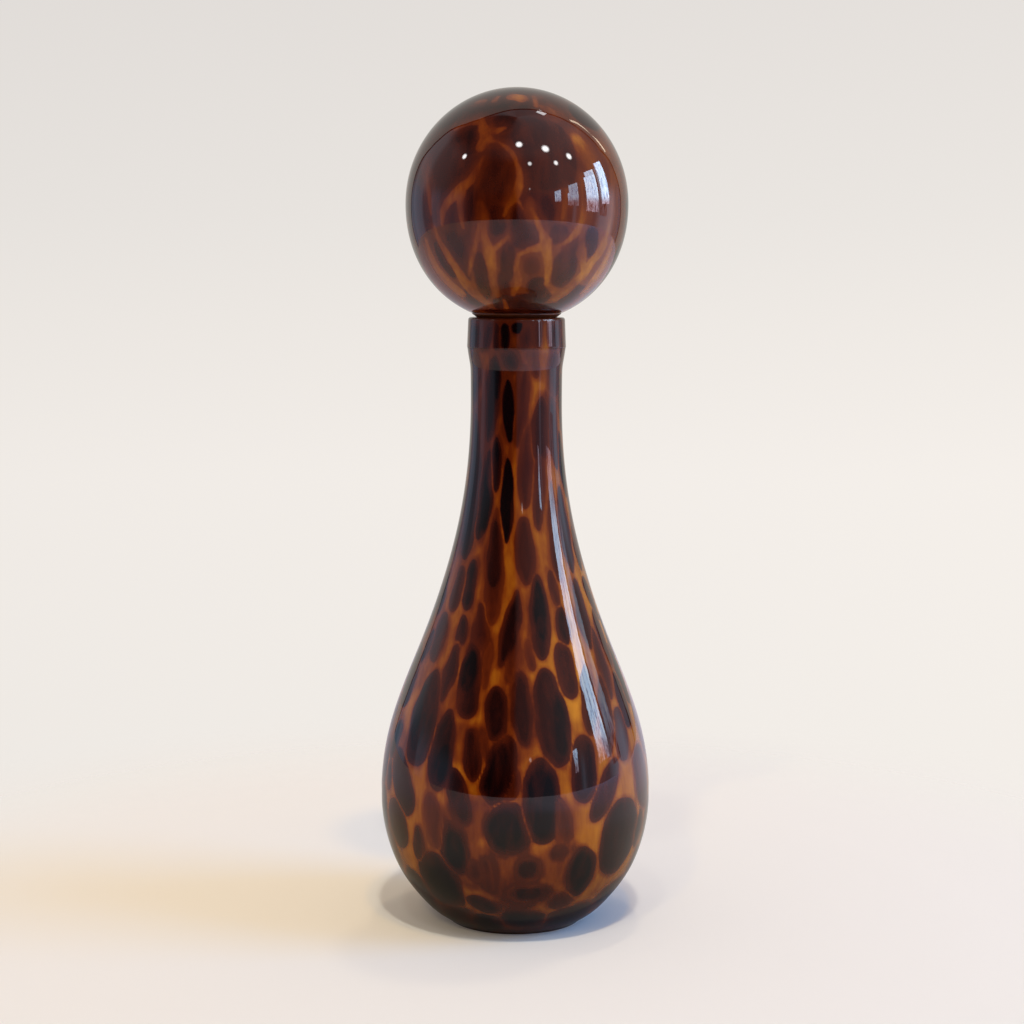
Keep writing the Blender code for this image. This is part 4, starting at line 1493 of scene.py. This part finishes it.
# What the glass mirrors of the table: its brightness away from the foot, the painted shade round the foot and
# the painted light of the windows, each as (from, to, first, last), and the (close, far) level of each colour
FLOOR_BRIGHTNESS = (0.08, 0.7, 0.55, 0.64)
FLOOR_SHADE_BY_FOOT = (0.05, 0.13, 0.66, 1.0)
FLOOR_LIGHT_BY_WINDOW = (0.04, 0.30, 0.0, 0.30)
FLOOR_TONES = ((1.0, 1.0), (0.97, 0.99), (0.88, 1.16))
FLOOR_TONE_PLACES = (0.1, 0.5)
FLOOR_FADE = (0.20, 0.42)


def make_floor():
    """A round pale table. The camera sees it near the decanter only, where the shadows fall."""
    material = stage_material("table")
    tree = material.node_tree
    place = new_node(tree, "ShaderNodeNewGeometry").outputs["Position"]
    distance = new_node(tree, "ShaderNodeVectorMath", {0: place}, operation="LENGTH").outputs["Value"]
    path = new_node(tree, "ShaderNodeLightPath").outputs
    level = smooth_step(tree, distance, *FLOOR_BRIGHTNESS)
    # Painted shade round the foot and painted window light, in what the glass mirrors of the table
    level = math_node(tree, "MULTIPLY", level, smooth_step(tree, distance, *FLOOR_SHADE_BY_FOOT))
    level = math_node(tree, "ADD", level, smooth_step(tree, split(tree, place)["X"], *FLOOR_LIGHT_BY_WINDOW))
    tone = new_node(tree, "ShaderNodeCombineColor")
    for i, (close, far) in enumerate(FLOOR_TONES):
        share = smooth_step(tree, distance, *FLOOR_TONE_PLACES, close, far)
        set_inputs(tree, tone, {i: math_node(tree, "MULTIPLY", level, share)})
    colour = mix_colours(tree, path["Is Glossy Ray"], FLOOR_WHITE, tone.outputs[0])
    fade = math_node(tree, "MULTIPLY", smooth_step(tree, distance, *FLOOR_FADE), path["Is Camera Ray"])
    white = new_node(tree, "ShaderNodeBsdfDiffuse", {"Color": colour}).outputs[0]
    clear = new_node(tree, "ShaderNodeBsdfTransparent").outputs[0]
    end_with(tree, new_node(tree, "ShaderNodeMixShader", {0: fade, 1: white, 2: clear}))

    angles = np.linspace(0, 2 * math.pi, FLOOR_CORNERS, endpoint=False)
    corners = [(FLOOR_RADIUS * math.cos(a), FLOOR_RADIUS * math.sin(a), 0) for a in angles]
    table = mesh_piece("table", corners, [list(range(FLOOR_CORNERS))])
    table.data.materials.append(material)


def shining(material, colour, strength):
    """Makes a material do nothing but shine. Returns it."""
    tree = material.node_tree
    end_with(tree, new_node(tree, "ShaderNodeEmission", {"Color": colour, "Strength": strength}))
    material.cycles.emission_sampling = "NONE"
    return material


def room_piece(name, co, faces, material):
    """A piece of the room that shows in the gloss of the glass alone."""
    piece = mesh_piece(name, co, faces)
    piece.data.materials.append(material)
    piece.visible_camera = False
    piece.visible_diffuse = False
    piece.visible_shadow = False
    return piece


# A pane of the windows on the right: nearest and furthest y, lowest and highest z in metres, brightness, and
# the place that it is drawn in towards, if it shows in the ball alone
Pane = namedtuple("Pane", "near far low high brightness towards", defaults=(None,))

WINDOW_PANES = [
    Pane(-0.56, 0.04, 0.25, 1.42, 14.0),
    Pane(0.14, 0.62, 0.10, 1.42, 3.2),
    Pane(-1.90, -1.66, 0.30, 0.78, 12.0),
    Pane(-0.78, 0.04, 0.12, 1.45, 18.0, (0.034, -0.033, 0.31)),
    Pane(-3.30, -2.56, 0.45, 1.15, 10.0, (0.0205, -0.042, 0.31)),
    Pane(-1.93, -1.20, 0.28, 1.30, 8.0, (0.028, -0.039, 0.31)),
    Pane(0.17, 0.80, 0.38, 1.92, 18.0, (0.041, -0.025, 0.31)),
]
WINDOW_X = 2.5
DRAWN_IN = 0.06
# The view through the windows: dark trees low down, and branches before a blue sky higher up
SKY_START = (0.36, 0.70)
TREE_COLOURS = [(0.42, (0.05, 0.03, 0.045)), (0.55, (0.36, 0.33, 0.42))]
SKY_COLOURS = [(0.38, (0.12, 0.16, 0.27)), (0.48, (0.45, 0.69, 1.0)), (0.62, (0.74, 0.88, 1.0))]


def make_windows():
    """Bright window panes that only the glass mirrors."""
    material = stage_material("window light")
    tree = material.node_tree
    place = object_place(tree)
    tall = stretched(tree, place, 0.3)
    branches = noise_node(tree, tall, scale=11, detail=5, roughness=0.7, distortion=1.5)
    trees, sky = (colour_ramp(tree, branches, stops) for stops in (TREE_COLOURS, SKY_COLOURS))
    view = mix_colours(tree, smooth_step(tree, split(tree, place)["Z"], *SKY_START), trees, sky)
    shining(material, view, number_from(tree, "brightness"))
    for i, pane in enumerate(WINDOW_PANES):
        corners = [(WINDOW_X, pane.near, pane.low), (WINDOW_X, pane.far, pane.low),
                   (WINDOW_X, pane.far, pane.high), (WINDOW_X, pane.near, pane.high)]
        window = room_piece(f"window_pane_{i + 1}", corners, [(0, 1, 2, 3)], material)
        keep_numbers(window, "brightness", [pane.brightness] * 4)
        if pane.towards:
            window.scale = (DRAWN_IN,) * 3
            window.location = Vector(pane.towards) * (1 - DRAWN_IN)


# The edge of the pale cloth that hangs behind and above, as (degrees round, degrees up)
CLOTH_EDGE = [
    (-141, -14), (-141, -3), (-139.4, 2.6), (-138.5, 11), (-137, 17), (-131, 25), (-127, 33), (-124.5, 41),
    (-116, 52.5), (-112.5, 63), (-120, 71), (-134, 75.5), (-175, 78), (160, 76), (141, 71), (127, 65),
    (122.5, 55), (120.5, 44), (122.5, 28), (129, 20), (132, 9), (133.5, 3), (134.5, -4), (134.5, -14),
]
CLOTH_FOOT = [(150, -14), (165, -14), (180, -14), (-165, -14), (-152, -14)]
CLOTH_MIDDLE = (180, 30)
CLOTH_COLOUR = (0.62, 0.60, 0.56, 1)
ROOM_REACH = 8.0
CLOTH_REACH = 1.05 * ROOM_REACH
# Thin bands in the room: the line of (degrees round, degrees up) that each runs along, its width in degrees,
# its colour and its brightness
ROOM_BANDS = {
    "cloth_edge": (CLOTH_EDGE, 1.6, (0.02, 0.012, 0.01, 1), 1.0),
    "glow_edge": ([(127, 50), (129.5, 45.5), (130.2, 35), (130.3, 24)], 2.2, (1.0, 0.86, 0.66, 1), 6.0),
    "hanging_lamp": ([(125, 72), (134, 67.5)], 5.5, (0.95, 0.97, 1.0, 1), 8.0),
    "small_lamp": ([(-155, 49.5), (-159, 47.0)], 3.0, (1.0, 0.80, 0.72, 1), 7.0),
}


def make_cloth():
    """The pale cloth behind the decanter, as the glass mirrors it from the height of the ball."""
    places = [CLOTH_MIDDLE] + CLOTH_EDGE + CLOTH_FOOT
    co = [room_way(*place) * CLOTH_REACH for place in places]
    faces = [(0, i, i + 1) for i in range(1, len(places) - 1)] + [(0, len(places) - 1, 1)]
    cloth = room_piece("cloth", co, faces, shining(stage_material("cloth"), CLOTH_COLOUR, 1.0))
    cloth.location = (0, 0, BALL_CENTRE)


def make_band(name, points, size, colour, strength):
    """A thin band along a line of directions, far off in the room."""
    ways = [room_way(*place) for place in points]
    co, faces = [], []
    for i, way in enumerate(ways):
        run = (ways[min(i + 1, len(ways) - 1)] - ways[max(i - 1, 0)]).normalized()
        side = way.cross(run).normalized() * math.radians(size) / 2
        co += [(way + side) * ROOM_REACH, (way - side) * ROOM_REACH]
        if i:
            faces.append((2 * i - 2, 2 * i - 1, 2 * i + 1, 2 * i))
    band = room_piece(name, co, faces, shining(stage_material(name), colour, strength))
    band.location = (0, 0, BALL_CENTRE)


# Lamps over the table: the way they shine from, the light that each gives to the floor, and their spread
SHADOW_LAMPS = {
    "ceiling light left": ((0.14, -0.44, 1.0), (0.10, 0.06, 0.015), 3.0),
    "ceiling light front": ((0.055, -0.50, 1.0), (0.19, 0.18, 0.15), 3.0),
    "ceiling light far": ((-0.385, -1.0, 1.0), (0.045, 0.035, 0.015), 2.5),
    "ceiling light side": ((-0.16, -0.55, 1.0), (0.03, 0.03, 0.025), 3.0),
    "ceiling light behind": ((0.086, 0.146, 1.0), (0.06, 0.05, 0.035), 2.5),
}
SIDE_LIGHT_WAY = (1.0, -0.45, 0.12)
SIDE_LIGHT_COLOUR = (1.0, 0.96, 0.92)
SIDE_LIGHT_SPREAD = 20
WINDOW_LIGHT_SPOT = (2.4, -0.4, 0.62)
WINDOW_LIGHT_TARGET = (0, 0, 0.12)
WINDOW_LIGHT_SIZE = (1.2, 3.2)
WINDOW_LIGHT_COLOUR = (0.09, 0.42, 1.0)
WINDOW_LIGHT_POWER = 78.0


def add_lamp(name, kind, colour, energy, spot, target=(0, 0, 0)):
    """A lamp that lights the decanter without showing in its gloss. Returns its data."""
    lamp = add_to_scene(name, bpy.data.lights.new(name, kind))
    lamp.data.color = colour
    lamp.data.energy = energy
    lamp.location = spot
    lamp.rotation_euler = (Vector(target) - Vector(spot)).to_track_quat("-Z", "Y").to_euler()
    lamp.visible_glossy = False
    lamp.visible_camera = False
    return lamp.data


def make_lamps():
    """Small lamps over the table, a broad soft one from the side and the light of the windows."""
    for name, (way, given, spread) in SHADOW_LAMPS.items():
        fall = 1 / Vector(way).length
        energy = max(given) * math.pi / (FLOOR_WHITE[0] * fall)
        colour = [share / max(given) for share in given]
        add_lamp(name, "SUN", colour, energy, way).angle = math.radians(spread)
    side = add_lamp("side light", "SUN", SIDE_LIGHT_COLOUR, 1.0, SIDE_LIGHT_WAY)
    side.angle = math.radians(SIDE_LIGHT_SPREAD)
    side.use_shadow = False
    window = add_lamp("window light", "AREA", WINDOW_LIGHT_COLOUR, WINDOW_LIGHT_POWER, WINDOW_LIGHT_SPOT,
                      WINDOW_LIGHT_TARGET)
    window.shape = "RECTANGLE"
    window.size, window.size_y = WINDOW_LIGHT_SIZE


def main():
    """Builds the decanter, the table and the room."""
    random = np.random.default_rng(PATTERN_SEED)
    camera = make_camera()
    make_world()
    make_floor()
    make_windows()
    make_cloth()
    for name, band in ROOM_BANDS.items():
        make_band(name, *band)
    make_lamps()

    trees = (tortoise_group(), hand_blown_group())
    bottle_glass = tortoise_glass("bottle_glass", *trees, BOTTLE_GLASS)
    ball_glass = tortoise_glass("ball_glass", *trees, BALL_GLASS)
    body, collar = make_bottle(camera, random)
    dress(body, bottle_glass, "bottle", "bottle_body")
    dress(collar, bottle_glass, "bottle", "neck_collar")
    dress(make_ball(camera, random), ball_glass, "stopper", "stopper_ball")
    dress(make_plug(), plug_glass(), "stopper", "stopper_plug")
    dress(make_seal(), seal_rubber(), "seal", "stopper_seal")

    bpy.context.scene.view_settings.view_transform = "Standard"


main()
